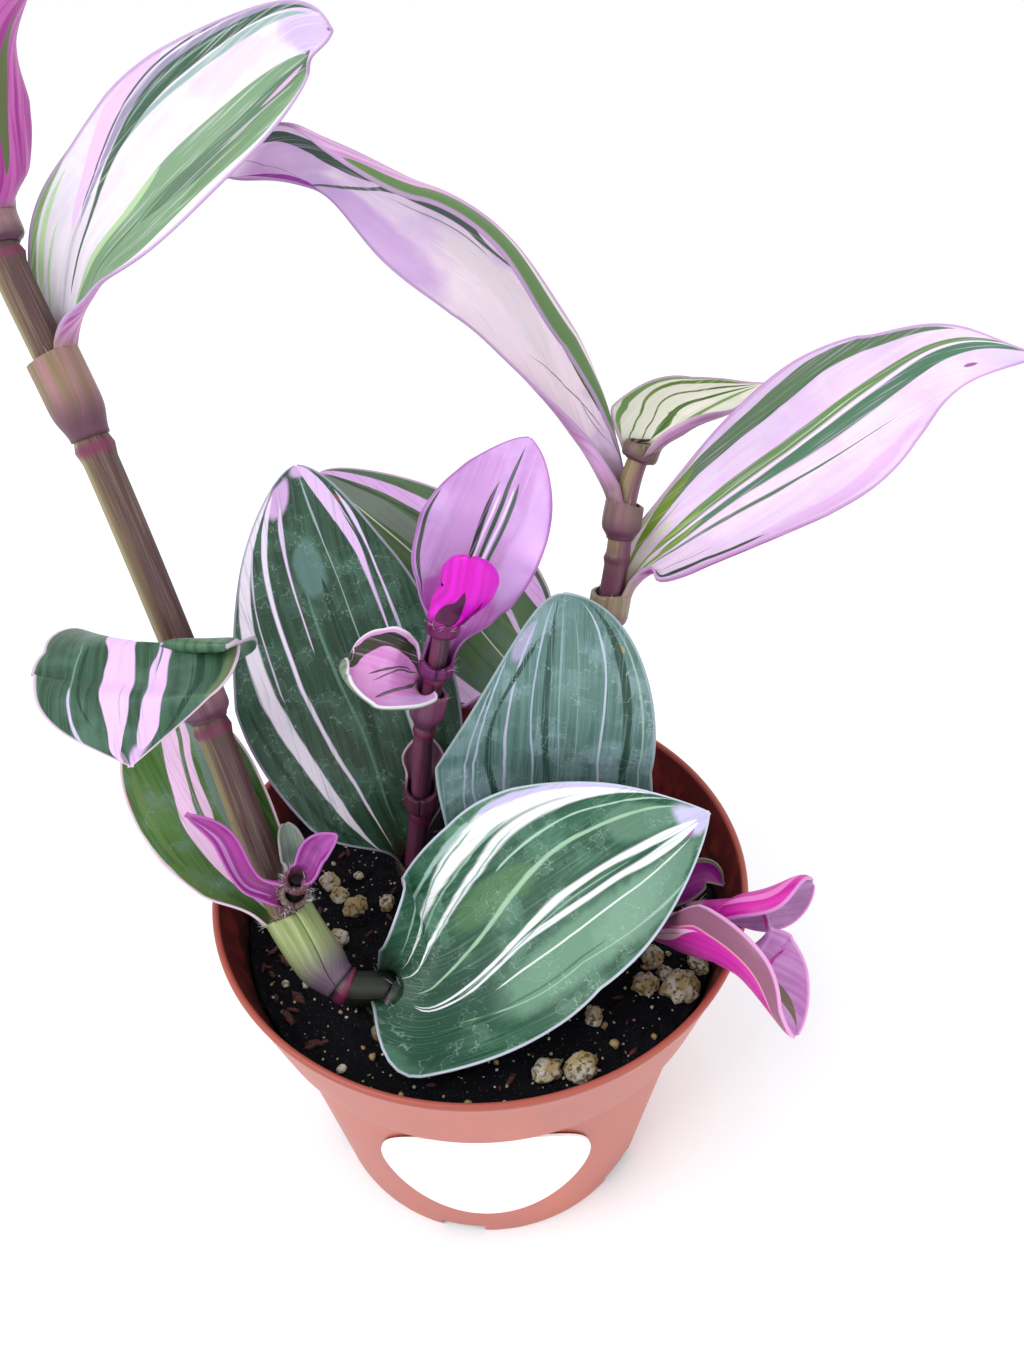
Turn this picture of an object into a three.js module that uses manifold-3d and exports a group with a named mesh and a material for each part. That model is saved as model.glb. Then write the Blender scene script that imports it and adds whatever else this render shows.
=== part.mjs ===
// A potted tradescantia: a plastic nursery pot with a round label, dark soil, four stems and their
// leaves, each leaf clasping its stem with a sheath. Millimetres, +Z up, the origin at the centre
// of the underside of the pot, the label towards -Y.
import * as THREE from "three";
import { mergeVertices } from "three/addons/utils/BufferGeometryUtils.js";
import Module from "manifold-3d";

const wasm = await Module();
wasm.setup();

// The pot.
const POT_HEIGHT = 79;
const RIM_RADIUS = 52.5;
const WALL = 1.2;
const BAND_HEIGHT = 20.2;
const BAND_FOOT_RADIUS = 47.7;
const BODY_TOP_RADIUS = 45.5;
const BASE_RADIUS = 37;
const FLOOR = 2;
const NOTCHES = 6;
const NOTCH_WIDTH = 9.5;
const NOTCH_HEIGHT = 3.2;
const NOTCH_DEPTH = 5;
const FIRST_NOTCH = -99.4;
const POT_SIDES = 60;

// The label and the soil.
const LABEL_RADIUS = 21;
const LABEL_MIDDLE = 35.7;
const LABEL_THICKNESS = 0.5;
const SOIL_TOP = 66;
const SEAT_GAP = 0.3;
const SOIL_SIDES = 40;
const SOIL_RINGS = 10;
const CENTRE_RING = 0.3;
const STEM_ROOM = 0.35;
const SHEATH_ROOM = 0.65;
const BUD_HEIGHT = 4.5;
const BUD_CLEARANCE = 0.1;
const BUD_RADII = [1.1, 1.5, 1.3, 0.4];
const BUD_LEAN = [-0.25, -0.1];
const CROWN_BUD = [-18, -31.5];

// The larger perlite grains: x, y and size. Each is wider than it is thick, and a share of its size
// stands above the soil.
const GRAIN_SHAPE = [1, 0.85, 0.75];
const GRAIN_LIFT = 0.15;
const PERLITE = [
  [11.7, -38.8, 5],
  [18, -38.4, 6],
  [33.2, -15.2, 4.5],
  [42, -16, 5],
  [37.7, -22.2, 6.5],
  [31.1, -21.5, 5],
  [20.7, -28.2, 4],
  [-32.3, 5.5, 4.5],
  [-26.4, -0.5, 5],
  [-29.8, 2.2, 3.5],
  [-19.8, -0.1, 3.5],
  [-28.6, -8.8, 4],
  [35.3, -18.7, 3.5],
];

// Leaves and stems.
const LEAF_THICKNESS = 0.8;
const SHEATH_GAP = 0.75;
const SHEATH_STEPS = 4;
const STEM_SIDES = 9;
const TIP_HALF_WIDTH = 0.6;
const CLOSED = THREE.MathUtils.degToRad(174);
const LIP = THREE.MathUtils.degToRad(95);
const LIP_HEIGHT = 0.4;
const EVEN = [1, 1, 1];
const WIDE_LEAF = 11;
const WIDE_GRID = { rows: 10, columns: 8 };
const NARROW_GRID = { rows: 6, columns: 6 };

const TERRACOTTA = 0xc4614b;
const PAPER_WHITE = 0xf4f4f2;
const SOIL_BLACK = 0x1d1917;
const STEM_BROWN = 0x6f5148;
const STEM_PURPLE = 0x6d3350;
const DARK_GREEN = 0x4a6b56;
const GREY_GREEN = 0x66806f;
const FRESH_GREEN = 0x8fb06f;
const PALE_PINK = 0xdcb4dc;
const LILAC = 0xd9a0dd;
const MAGENTA = 0xc030a8;

const vector = (p) => new THREE.Vector3(...p);
const { degToRad, lerp, clamp, smoothstep } = THREE.MathUtils;

function material(color, roughness) {
  return new THREE.MeshStandardMaterial({ color, roughness, metalness: 0 });
}

function mesh(name, geometry, color, roughness = 0.5) {
  const made = new THREE.Mesh(geometry, material(color, roughness));
  made.name = name;
  return made;
}

// A solid for cutting and joining, from a closed geometry.
function solid(geometry) {
  const bare = geometry.clone();
  bare.deleteAttribute("normal");
  bare.deleteAttribute("uv");
  const merged = mergeVertices(bare, 1e-4);
  return new wasm.Manifold(
    new wasm.Mesh({
      numProp: 3,
      vertProperties: new Float32Array(merged.attributes.position.array),
      triVerts: new Uint32Array(merged.index.array),
    }),
  );
}

function geometryOf(body) {
  const { vertProperties, triVerts } = body.getMesh();
  const geometry = new THREE.BufferGeometry();
  geometry.setAttribute("position", new THREE.BufferAttribute(vertProperties, 3));
  geometry.setIndex(new THREE.BufferAttribute(triVerts, 1));
  return geometry;
}

// A closed skin over rings of points. Each ring runs along the upper side and comes back along the
// under side with the same number of points, and both sides are split into triangles alike.
function skin(rings) {
  const count = rings[0].length;
  const half = count / 2;
  const last = (rings.length - 1) * count;
  const index = [];
  for (let i = 0; i < rings.length - 1; i++) {
    for (let j = 0; j < count; j++) {
      const a = i * count + j;
      const b = i * count + ((j + 1) % count);
      const c = b + count;
      const d = a + count;
      if (j < half) index.push(a, b, c, a, c, d);
      else index.push(a, b, d, b, c, d);
    }
  }
  for (let j = 0; j < half - 1; j++) {
    const back = count - 1 - j;
    index.push(j, back, j + 1, j + 1, back, back - 1);
    index.push(last + j, last + j + 1, last + back, last + j + 1, last + back - 1, last + back);
  }
  const geometry = new THREE.BufferGeometry().setFromPoints(rings.flat());
  geometry.setIndex(index);
  return geometry;
}

// Pot: turned round its axis, with drain notches through the corner of its base.
function potGeometry() {
  const stepZ = POT_HEIGHT - BAND_HEIGHT;
  const profile = [
    [0, 0],
    [BASE_RADIUS - 1, 0],
    [BASE_RADIUS, 1],
    [BODY_TOP_RADIUS, stepZ - 0.6],
    [BAND_FOOT_RADIUS - 0.5, stepZ - 0.6],
    [BAND_FOOT_RADIUS, stepZ],
    [RIM_RADIUS - 0.3, POT_HEIGHT - 1.2],
    [RIM_RADIUS, POT_HEIGHT - 0.6],
    [RIM_RADIUS - 0.5, POT_HEIGHT],
    [RIM_RADIUS - WALL, POT_HEIGHT - 0.3],
    [BAND_FOOT_RADIUS - WALL, stepZ + 0.4],
    [BODY_TOP_RADIUS - WALL, stepZ - 0.8],
    [BASE_RADIUS - WALL, FLOOR],
    [0, FLOOR],
  ];
  const points = profile.map(([r, z]) => new THREE.Vector2(r, z));
  const turned = new THREE.LatheGeometry(points, POT_SIDES).rotateX(Math.PI / 2);
  const notch = new THREE.BoxGeometry(2 * NOTCH_DEPTH, NOTCH_WIDTH, 2 * NOTCH_HEIGHT);
  notch.translate(BASE_RADIUS, 0, 0);
  let pot = solid(turned);
  for (let i = 0; i < NOTCHES; i++) {
    const angle = degToRad(FIRST_NOTCH) + (i * 2 * Math.PI) / NOTCHES;
    pot = pot.subtract(solid(notch.clone().rotateZ(angle)));
  }
  return geometryOf(pot);
}

const bodyRadius = (z) => lerp(BASE_RADIUS, BODY_TOP_RADIUS, z / (POT_HEIGHT - BAND_HEIGHT));

// Label: a round sticker bent to the pot's wall.
function labelGeometry() {
  const columns = 14;
  const rows = 4;
  const rings = [];
  for (let i = 0; i <= columns; i++) {
    const across = -LABEL_RADIUS * Math.cos((Math.PI * (i + 0.35)) / (columns + 0.7));
    const tall = Math.sqrt(LABEL_RADIUS ** 2 - across ** 2);
    const side = (lift) =>
      Array.from({ length: rows + 1 }, (_, j) => {
        const z = LABEL_MIDDLE + lerp(-tall, tall, j / rows);
        const radius = bodyRadius(z) + lift;
        const angle = across / bodyRadius(LABEL_MIDDLE) - Math.PI / 2;
        return new THREE.Vector3(radius * Math.cos(angle), radius * Math.sin(angle), z);
      });
    rings.push([...side(SEAT_GAP), ...side(SEAT_GAP + LABEL_THICKNESS).reverse()]);
  }
  return skin(rings);
}

// Stems: the middle line from the foot in the soil to the growing end, the radius at both ends,
// and the nodes, counted in points along the line, where a raised ring goes round the stem. A shoot
// that grows from another stem is one solid with it.
const STEMS = {
  stem_tall: {
    points: [
      [-14.5, -21.5, 51],
      [-16, -23.5, 64],
      [-18.5, -23.7, 70.3],
      [-25, -24, 72.3],
      [-36, -14, 82],
      [-48, 4.6, 111],
      [-63, 24.4, 157.8],
      [-73.6, 36, 186],
      [-79, 44, 203],
      [-81, 48, 212],
    ],
    radius: [3.4, 2.8],
    nodes: [1, 3, 5, 6, 7],
    color: STEM_BROWN,
  },
  side_shoot: {
    points: [
      [-38.5, -11.5, 85],
      [-35, -15, 87],
      [-33, -16.6, 90],
      [-32, -16.6, 93.5],
    ],
    radius: [1.3, 1],
    nodes: [],
    growsFrom: "stem_tall",
  },
  stem_short: {
    points: [
      [-15.5, 5.5, 51],
      [-14.8, 6, 66],
      [-12.1, 7.5, 84.4],
      [-9.8, 8.5, 106.3],
      [-7.2, 9.3, 118],
      [-5.8, 10, 124.5],
      [-4.8, 10.5, 129.8],
    ],
    radius: [2.3, 1.5],
    nodes: [1, 2, 3, 4],
    color: STEM_PURPLE,
  },
  stem_back: {
    points: [
      [12, 3, 51],
      [13, 5, 66],
      [18.5, 11, 93],
      [24.5, 20, 119],
      [27, 25, 133],
      [28, 28, 141],
      [29.5, 30.5, 147],
      [31.5, 32.5, 152],
    ],
    radius: [2.8, 1.8],
    nodes: [2, 3, 4],
    color: STEM_PURPLE,
  },
  stem_right: {
    points: [
      [9, -6, 51],
      [10, -7, 63],
      [20, -10.5, 72],
      [33, -14, 76],
      [42, -16, 80],
    ],
    radius: [2.2, 1.5],
    nodes: [1],
    color: STEM_PURPLE,
  },
};

const RING_HEIGHT = 1.1;
const RING_RISE = 0.14;

function stemCurve(stem) {
  return new THREE.CatmullRomCurve3(stem.points.map(vector));
}

// The middle, direction and radius of a stem at a place counted in points along its line.
function stemAt(stem, place) {
  const t = clamp(place / (stem.points.length - 1), 0, 1);
  const curve = stemCurve(stem);
  return {
    middle: curve.getPoint(t),
    along: curve.getTangent(t),
    radius: lerp(stem.radius[0], stem.radius[1], t),
  };
}

const distanceBetween = (stem, from, to) =>
  stemAt(stem, from).middle.distanceTo(stemAt(stem, to).middle);

// The place on a stem that lies a distance in mm beyond a place.
function placeBeyond(stem, place, distance) {
  const step = 0.01;
  let here = place;
  while (distanceBetween(stem, place, here) < distance) here += step;
  return here;
}

// A tube round a line of { middle, along, radius }, its section a regular polygon.
function tube(stations) {
  const across = new THREE.Vector3(0, 1, 0.2);
  const rings = stations.map(({ middle, along, radius }) => {
    const side = across.clone().addScaledVector(along, -across.dot(along)).normalize();
    const up = along.clone().cross(side);
    return Array.from({ length: STEM_SIDES }, (_, k) => {
      const angle = (2 * Math.PI * (k + 0.5)) / STEM_SIDES;
      return middle
        .clone()
        .addScaledVector(side, radius * Math.cos(angle))
        .addScaledVector(up, radius * Math.sin(angle));
    });
  });
  return skin(rings);
}

// A tube with room all round it, for cutting a hole.
function widened(stations, room) {
  return solid(tube(stations.map((station) => ({ ...station, radius: station.radius + room }))));
}

// The stations of a stem: evenly along its line, and three at each node for its raised ring.
function stemStations(stem) {
  const last = stem.points.length - 1;
  const rings = stem.nodes.flatMap((node) => {
    const foot = placeBeyond(stem, node - 1, distanceBetween(stem, node - 1, node) - RING_HEIGHT);
    return [foot, node, placeBeyond(stem, node, RING_HEIGHT)];
  });
  const even = Array.from({ length: 2 * last + 1 }, (_, k) => k / 2);
  const free = even.filter((place) => !rings.some((ring) => Math.abs(ring - place) < 0.1));
  return [...free, ...rings]
    .sort((p, q) => p - q)
    .map((place) => {
      const rise = stem.nodes.includes(place) ? RING_RISE : 0;
      const station = stemAt(stem, place);
      return { ...station, radius: station.radius * (1 + rise) };
    });
}

// Leaves. Each has
//   clasps: the stem, and the places where its sheath starts and ends;
//   blade: points of the midrib from the sheath's mouth to the tip;
//   face: the way the upper side looks at the mouth, halfway and at the tip;
//   half: the largest half width, with widest, the share of the length where it lies, foot, the
//     share of it that the blade has at the mouth, tip, how pointed the end is, flare, the share of
//     the length over which the sheath opens into the blade, and lobe, how far the margins reach
//     back past the mouth;
//   left and right: the share of the half width that each side has at the mouth, halfway and at
//     the tip, the left being that of one who looks at the upper side with the tip up;
//   cup: how far each half bends up in degrees at the mouth, halfway and at the tip;
//   wave: the height and the number of waves of the margins.
const LEAVES = {
  leaf_front: {
    clasps: ["stem_tall", 1.55, 1.9],
    blade: [
      [-8.7, -25.1, 74.8],
      [6.1, -22.9, 83.6],
      [18.1, -18.8, 90.6],
      [30.4, -13.4, 96.4],
      [42.3, -7.8, 99.4],
    ],
    face: [[-0.9, -0.15, 0.35], [-0.2, -0.55, 0.8], [-0.2, -0.35, 0.9]],
    half: 25.2,
    widest: 0.38,
    foot: 0.85,
    tip: 0.87,
    flare: 0.12,
    lobe: 2.5,
    left: [0.8, 1, 1.1],
    right: [0.8, 0.65, 0.9],
    cup: [47, 13, 23],
    wave: [0.6, 2],
    color: DARK_GREEN,
  },
  leaf_tall_lower: {
    clasps: ["stem_tall", 3.1, 3.95],
    blade: [
      [-47.3, -3.5, 91.5],
      [-56.1, 6.1, 103.2],
      [-61.7, 16.6, 111],
    ],
    face: [[0.65, -0.75, -0.1], [0.25, -0.8, 0.55], [0.2, -0.8, 0.6]],
    half: 12.4,
    widest: 0.49,
    foot: 0.57,
    tip: 0.74,
    flare: 0.25,
    left: [1, 1.05, 1.2],
    right: [0.75, 0.9, 1.25],
    cup: [81, 20, 15],
    wave: [0.6, 3],
    color: FRESH_GREEN,
  },
  leaf_tall_drooping: {
    clasps: ["stem_tall", 5.04, 5.16],
    blade: [
      [-51.1, 1.5, 128],
      [-54.2, -2.4, 136.5],
      [-53.5, -10.5, 134.5],
      [-53.4, -14.7, 134.2],
      [-53.2, -19.7, 124.6],
    ],
    face: [[-0.1, 1, 0.15], [0.05, 0.15, 1], [0.2, -0.75, 0.6]],
    half: 18.1,
    widest: 0.47,
    foot: 0.65,
    tip: 1.04,
    flare: 0.15,
    left: [1, 0.95, 1.2],
    right: [1, 0.75, 1.35],
    cup: [49, 5, 15],
    wave: [0.8, 2],
    color: DARK_GREEN,
  },
  leaf_tall_upper: {
    clasps: ["stem_tall", 6.05, 6.45],
    blade: [
      [-60.4, 36.5, 185.9],
      [-52, 37.7, 194.2],
      [-37.9, 39.3, 205.2],
      [-23.4, 42.2, 214.9],
      [-17.3, 38.2, 216.1],
    ],
    face: [[-0.8, -0.55, 0.15], [-0.05, -0.85, 0.55], [0.15, -0.95, 0.3]],
    half: 11.6,
    widest: 0.45,
    foot: 0.75,
    tip: 0.63,
    flare: 0.15,
    left: [0.95, 1.05, 0.9],
    right: [1, 0.85, 1.05],
    cup: [66, 21, 21],
    wave: [0.6, 2],
    color: PALE_PINK,
  },
  leaf_tall_edge: {
    clasps: ["stem_tall", 7.08, 7.26],
    blade: [
      [-70.3, 35.5, 198.5],
      [-69, 38, 208],
      [-67, 42, 216],
      [-62, 48, 223],
    ],
    face: [[-0.65, 0.75, 0.1], [-0.65, 0.65, 0.35], [-0.45, 0.2, 0.85]],
    half: 8,
    widest: 0.45,
    foot: 0.7,
    tip: 0.8,
    flare: 0.2,
    cup: [80, 40, 25],
    wave: [0.4, 2],
    color: MAGENTA,
  },
  leaf_tall_outer: {
    clasps: ["stem_tall", 7.59, 7.72],
    blade: [
      [-89.5, 42, 204.5],
      [-98.5, 42, 212],
      [-110, 40, 210],
    ],
    face: [[0.75, 0.45, 0.5], [0.3, -0.3, 0.9], [-0.2, -0.4, 0.9]],
    half: 10,
    widest: 0.5,
    foot: 0.35,
    tip: 0.8,
    flare: 0.2,
    cup: [80, 25, 15],
    wave: [0.5, 2],
    color: PALE_PINK,
  },
  leaf_tall_young: {
    clasps: ["stem_tall", 8.45, 8.9],
    blade: [
      [-82, 52.5, 219],
      [-83.5, 54, 227],
      [-85, 55, 234],
    ],
    face: [[0.2, -0.9, 0.4], [0.2, -0.9, 0.4], [0.2, -0.9, 0.4]],
    half: 7,
    widest: 0.4,
    foot: 0.8,
    tip: 0.9,
    flare: 0.2,
    cup: [110, 100, 80],
    wave: [0, 1],
    color: LILAC,
  },
  leaf_short_big: {
    clasps: ["stem_short", 1.14, 1.3],
    blade: [
      [-19, 11.4, 85.6],
      [-24.2, 20, 107.4],
      [-31, 31.7, 129.5],
      [-33, 39.8, 145.8],
    ],
    face: [[0.4, -0.9, 0], [0.1, -0.85, 0.5], [-0.15, -0.8, 0.6]],
    half: 22.2,
    widest: 0.43,
    foot: 0.47,
    tip: 0.56,
    flare: 0.2,
    left: [0.9, 1.05, 0.75],
    right: [0.9, 0.9, 1],
    cup: [64, 5, 21],
    wave: [0.5, 2],
    color: DARK_GREEN,
  },
  leaf_short_bract: {
    clasps: ["stem_short", 2.08, 2.3],
    blade: [
      [-11, 12.4, 95],
      [-10.6, 12.6, 98.5],
      [-10.4, 12, 102],
    ],
    face: [[0, -1, 0], [0, -1, 0], [0, -1, 0.2]],
    half: 5,
    widest: 0.5,
    foot: 0.8,
    tip: 0.7,
    flare: 0.2,
    cup: [95, 70, 50],
    wave: [0, 1],
    color: PALE_PINK,
  },
  leaf_short_cup: {
    clasps: ["stem_short", 3.12, 3.68],
    blade: [
      [-14, 5.3, 120.2],
      [-18.3, 4.6, 122.6],
      [-22.2, 3.7, 125.3],
      [-21.5, 4.2, 126.7],
    ],
    face: [[0.9, 0.4, 0.2], [0.4, -0.35, 0.85], [0.95, 0.2, 0.1]],
    half: 10,
    widest: 0.51,
    foot: 0.71,
    tip: 0.64,
    flare: 0.2,
    left: [1, 0.95, 0.9],
    right: [1.05, 1.05, 0.75],
    cup: [95, 68, 49],
    wave: [0, 1],
    color: PALE_PINK,
  },
  leaf_short_upright: {
    clasps: ["stem_short", 4.14, 4.5],
    blade: [
      [-1.6, 19.4, 130.4],
      [2.1, 20.6, 138.5],
      [6.9, 22.2, 147.9],
      [11, 25.9, 157.2],
    ],
    face: [[0.05, -0.95, 0.25], [-0.1, -0.9, 0.4], [-0.2, -0.9, 0.4]],
    half: 12,
    widest: 0.54,
    foot: 0.29,
    tip: 0.63,
    flare: 0.2,
    left: [1.05, 1.05, 1],
    right: [1, 0.9, 0.85],
    cup: [70, 29, 15],
    wave: [0.7, 4],
    color: LILAC,
  },
  leaf_short_rolled: {
    clasps: ["stem_short", 5.56, 5.96],
    blade: [
      [-3.4, 9.3, 132.9],
      [-1.1, 8.9, 136],
      [0.4, 11.5, 142.2],
    ],
    face: [[0.3, 0.95, 0.1], [0.2, 0.95, 0.1], [0.1, 1, 0.1]],
    half: 6.7,
    widest: 0.7,
    foot: 0.64,
    tip: 0.38,
    flare: 0.2,
    left: [1.05, 1.1, 1],
    right: [0.85, 0.95, 0.95],
    cup: [96, 89, 69],
    wave: [0, 1],
    color: MAGENTA,
  },
  leaf_back_lower: {
    clasps: ["stem_back", 2.08, 2.25],
    blade: [
      [13.2, 25.1, 103.7],
      [6.3, 34.4, 105.8],
      [-9.1, 47.1, 117.3],
      [-33.7, 63, 132],
    ],
    face: [[0.55, -0.8, -0.1], [0.1, -0.85, 0.5], [0.1, -0.8, 0.6]],
    half: 17.2,
    widest: 0.47,
    foot: 0.38,
    tip: 0.58,
    flare: 0.2,
    left: [1.4, 1.2, 1],
    right: [0.9, 1, 0.85],
    cup: [72, 15, 15],
    wave: [0.5, 2],
    color: FRESH_GREEN,
  },
  leaf_back_right: {
    clasps: ["stem_back", 3.1, 3.5],
    blade: [
      [33.5, 28.1, 131.4],
      [40.2, 26.4, 137.9],
      [56.8, 28.4, 150.6],
      [72.7, 30.1, 162.2],
      [80.8, 26.8, 168.9],
      [94.2, 21.2, 171.7],
    ],
    face: [[-0.9, -0.6, 0.15], [-0.25, -0.85, 0.5], [-0.2, -0.8, 0.5]],
    half: 12.7,
    widest: 0.5,
    foot: 0.38,
    tip: 1.09,
    flare: 0.12,
    left: [0.6, 1.5, 0.7],
    right: [1.2, 1.4, 0.6],
    cup: [83, 62, 20],
    wave: [1, 3],
    color: PALE_PINK,
  },
  leaf_back_long: {
    clasps: ["stem_back", 4.42, 5.2],
    blade: [
      [20.5, 36.3, 153.6],
      [14.7, 40.4, 168.5],
      [6.5, 40.1, 181.3],
      [-7.2, 42.5, 190.1],
      [-22.6, 44, 197.8],
      [-37.2, 41.8, 195.8],
    ],
    face: [[0.9, -0.4, -0.15], [-0.65, -0.75, 0.2], [-0.9, -0.25, -0.15]],
    half: 10.8,
    widest: 0.53,
    foot: 0.24,
    tip: 0.81,
    flare: 0.15,
    left: [1, 1.15, 0.7],
    right: [1.6, 1.3, 1.55],
    cup: [120, 79, 47],
    wave: [0.6, 2],
    color: PALE_PINK,
  },
  leaf_back_young: {
    clasps: ["stem_back", 6.5, 6.98],
    blade: [
      [39, 38.5, 154.8],
      [46.5, 42.8, 156.4],
      [56, 46.5, 157.5],
    ],
    face: [[-0.6, -0.2, 0.8], [-0.25, -0.5, 0.8], [-0.25, -0.5, 0.8]],
    half: 11.3,
    widest: 0.2,
    foot: 0.85,
    tip: 1.1,
    flare: 0.15,
    lobe: 5,
    left: [1.2, 0.6, 0.4],
    right: [1, 0.8, 0.8],
    cup: [95, 80, 60],
    wave: [0, 1],
    color: LILAC,
  },
  leaf_right_upright: {
    clasps: ["stem_right", 1.38, 1.65],
    blade: [
      [13.2, 2.7, 81.8],
      [14.2, 4.2, 95.1],
      [15.4, 4.6, 114.5],
      [16, 11, 134.8],
    ],
    face: [[0.45, -0.9, 0], [0, -0.95, 0.2], [0, -0.9, 0.4]],
    half: 21.3,
    widest: 0.33,
    foot: 0.6,
    tip: 0.44,
    flare: 0.15,
    left: [0.8, 1.1, 0.55],
    right: [1.05, 0.9, 1.1],
    cup: [50, 14, 15],
    wave: [0.4, 2],
    color: GREY_GREEN,
  },
  leaf_right_small: {
    clasps: ["stem_right", 2, 2.2],
    blade: [
      [30, -6.5, 76.5],
      [38, -7, 79],
      [44, -5.5, 80.5],
      [47.5, -6.5, 77.5],
    ],
    face: [[0, -0.95, 0.3], [0, -0.85, 0.55], [0, -0.85, 0.55]],
    half: 4.5,
    widest: 0.5,
    foot: 0.8,
    tip: 0.8,
    flare: 0.2,
    cup: [95, 50, 30],
    wave: [0, 1],
    color: MAGENTA,
  },
  leaf_right_rolled: {
    clasps: ["stem_right", 3.65, 3.95],
    blade: [
      [48.3, -17.4, 85.7],
      [50, -18.9, 88.6],
      [60.1, -17.5, 90.9],
    ],
    face: [[0.2, -0.9, -0.4], [-0.3, -0.85, -0.4], [-0.05, -0.9, 0.4]],
    half: 6.9,
    widest: 0.54,
    foot: 0.77,
    tip: 0.66,
    flare: 0.2,
    left: [0.7, 1.15, 1.25],
    right: [0.8, 1.05, 1.25],
    cup: [94, 93, 68],
    wave: [0, 1],
    color: MAGENTA,
  },
  leaf_right_hanging: {
    clasps: ["stem_right", 2.7, 2.95],
    blade: [
      [37.2, -24.4, 82.8],
      [40, -32.1, 90.1],
      [43.5, -37.5, 92.6],
      [47.9, -42.1, 89.3],
      [51.6, -45, 85.6],
    ],
    face: [[0.75, 0.4, 0.55], [0.55, 0.8, 0.2], [0.65, 0.15, 0.75]],
    half: 9.2,
    widest: 0.67,
    foot: 0.66,
    tip: 0.67,
    flare: 0.12,
    left: [0.5, 1.7, 1.75],
    right: [0.5, 1, 0.55],
    cup: [32, 72, 75],
    wave: [0.3, 2],
    color: LILAC,
  },
  shoot_leaf_long: {
    clasps: ["side_shoot", 0.85, 1.1],
    blade: [
      [-40.8, -16, 92.5],
      [-45, -12.5, 101],
      [-51, -10.5, 104.5],
    ],
    face: [[0.9, -0.4, -0.2], [0.3, -0.8, 0.4], [0.2, -0.8, 0.6]],
    half: 2.6,
    widest: 0.5,
    foot: 0.8,
    tip: 0.8,
    flare: 0.2,
    cup: [90, 80, 60],
    wave: [0, 1],
    color: MAGENTA,
  },
  shoot_leaf_blunt: {
    clasps: ["side_shoot", 1.6, 1.9],
    blade: [
      [-33.7, -11.3, 92.3],
      [-34, -9.5, 95.5],
      [-35, -7, 98],
    ],
    face: [[0.4, -0.85, 0.3], [0.4, -0.85, 0.3], [0.4, -0.85, 0.3]],
    half: 3,
    widest: 0.5,
    foot: 0.8,
    tip: 0.5,
    flare: 0.2,
    cup: [90, 80, 60],
    wave: [0, 1],
    color: PALE_PINK,
  },
  shoot_leaf_short: {
    clasps: ["side_shoot", 2.6, 2.95],
    blade: [
      [-29.8, -15.8, 95.6],
      [-28, -14, 98.5],
      [-24.5, -13, 101],
    ],
    face: [[-0.3, -0.8, 0.4], [-0.3, -0.8, 0.4], [-0.3, -0.7, 0.6]],
    half: 3.2,
    widest: 0.5,
    foot: 0.8,
    tip: 0.8,
    flare: 0.2,
    cup: [90, 80, 50],
    wave: [0, 1],
    color: MAGENTA,
  },
};

const shareOf = (three, u) =>
  u < 0.5 ? lerp(three[0], three[1], 2 * u) : lerp(three[1], three[2], 2 * u - 1);

// The blade's half width at a share u of its length.
function halfWidth(leaf, u) {
  const rising = leaf.foot + (1 - leaf.foot) * Math.sin((Math.PI / 2) * Math.min(1, u / leaf.widest));
  const fall = clamp((u - leaf.widest) / (1 - leaf.widest), 0, 1);
  return Math.max(TIP_HALF_WIDTH, leaf.half * rising * Math.cos((Math.PI / 2) * fall) ** leaf.tip);
}

// The sections of a leaf from the foot of its sheath to its tip. Each is an arc: the midrib point,
// the directions along, across and up, the half width, and the angle through which each half bends.
function leafSections(leaf, bladeRows) {
  const [stemName, from, to] = leaf.clasps;
  const stem = STEMS[stemName];
  const faces = new THREE.CatmullRomCurve3(leaf.face.map(vector));
  const firstFace = vector(leaf.face[0]);
  const steps = Math.ceil((to - from) * SHEATH_STEPS) + 1;
  const sheath = Array.from({ length: steps + 1 }, (_, i) => {
    const { middle, along, radius } = stemAt(stem, lerp(from, to, i / steps));
    const up = firstFace.clone().addScaledVector(along, -firstFace.dot(along)).normalize();
    const reach = radius + SHEATH_GAP;
    const midrib = middle.clone().addScaledVector(up, -reach);
    return { midrib, along, up, half: reach * CLOSED, bend: CLOSED };
  });
  const mouth = sheath[steps];
  const rim = [1, 2].map((step) => {
    const midrib = mouth.midrib.clone().addScaledVector(mouth.along, LIP_HEIGHT * step);
    const bend = lerp(CLOSED, LIP, step / 2);
    return { ...mouth, midrib, half: (mouth.half * bend) / CLOSED, bend };
  });
  const lip = rim[1];
  const clasping = [...sheath, ...rim];
  const midribs = clasping.map((section) => section.midrib).concat(leaf.blade.map(vector));
  const curve = new THREE.CatmullRomCurve3(midribs);
  const total = curve.getLength();
  const start = sheath[0].midrib.distanceTo(lip.midrib) / total;
  const blade = Array.from({ length: bladeRows }, (_, k) => {
    const u = 1 - (1 - (k + 1) / bladeRows) ** 1.2;
    const share = lerp(start, 1, u);
    const along = curve.getTangentAt(share);
    const open = smoothstep(u, 0, leaf.flare);
    const toFace = faces.getPoint(u);
    return {
      midrib: curve.getPointAt(share),
      along,
      up: toFace.addScaledVector(along, -toFace.dot(along)).normalize(),
      half: lerp(lip.half, halfWidth(leaf, u), open),
      bend: lerp(LIP, degToRad(shareOf(leaf.cup, u)), open),
      wave: leaf.wave[0] * smoothstep(u, 0.1, 0.4) * Math.sin(2 * Math.PI * leaf.wave[1] * u),
      lobe: (leaf.lobe ?? 0) * (1 - smoothstep(u, 0, 0.5)),
      left: lerp(1, shareOf(leaf.left ?? EVEN, u), open),
      right: lerp(1, shareOf(leaf.right ?? EVEN, u), open),
    };
  });
  return [...clasping, ...blade];
}

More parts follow.
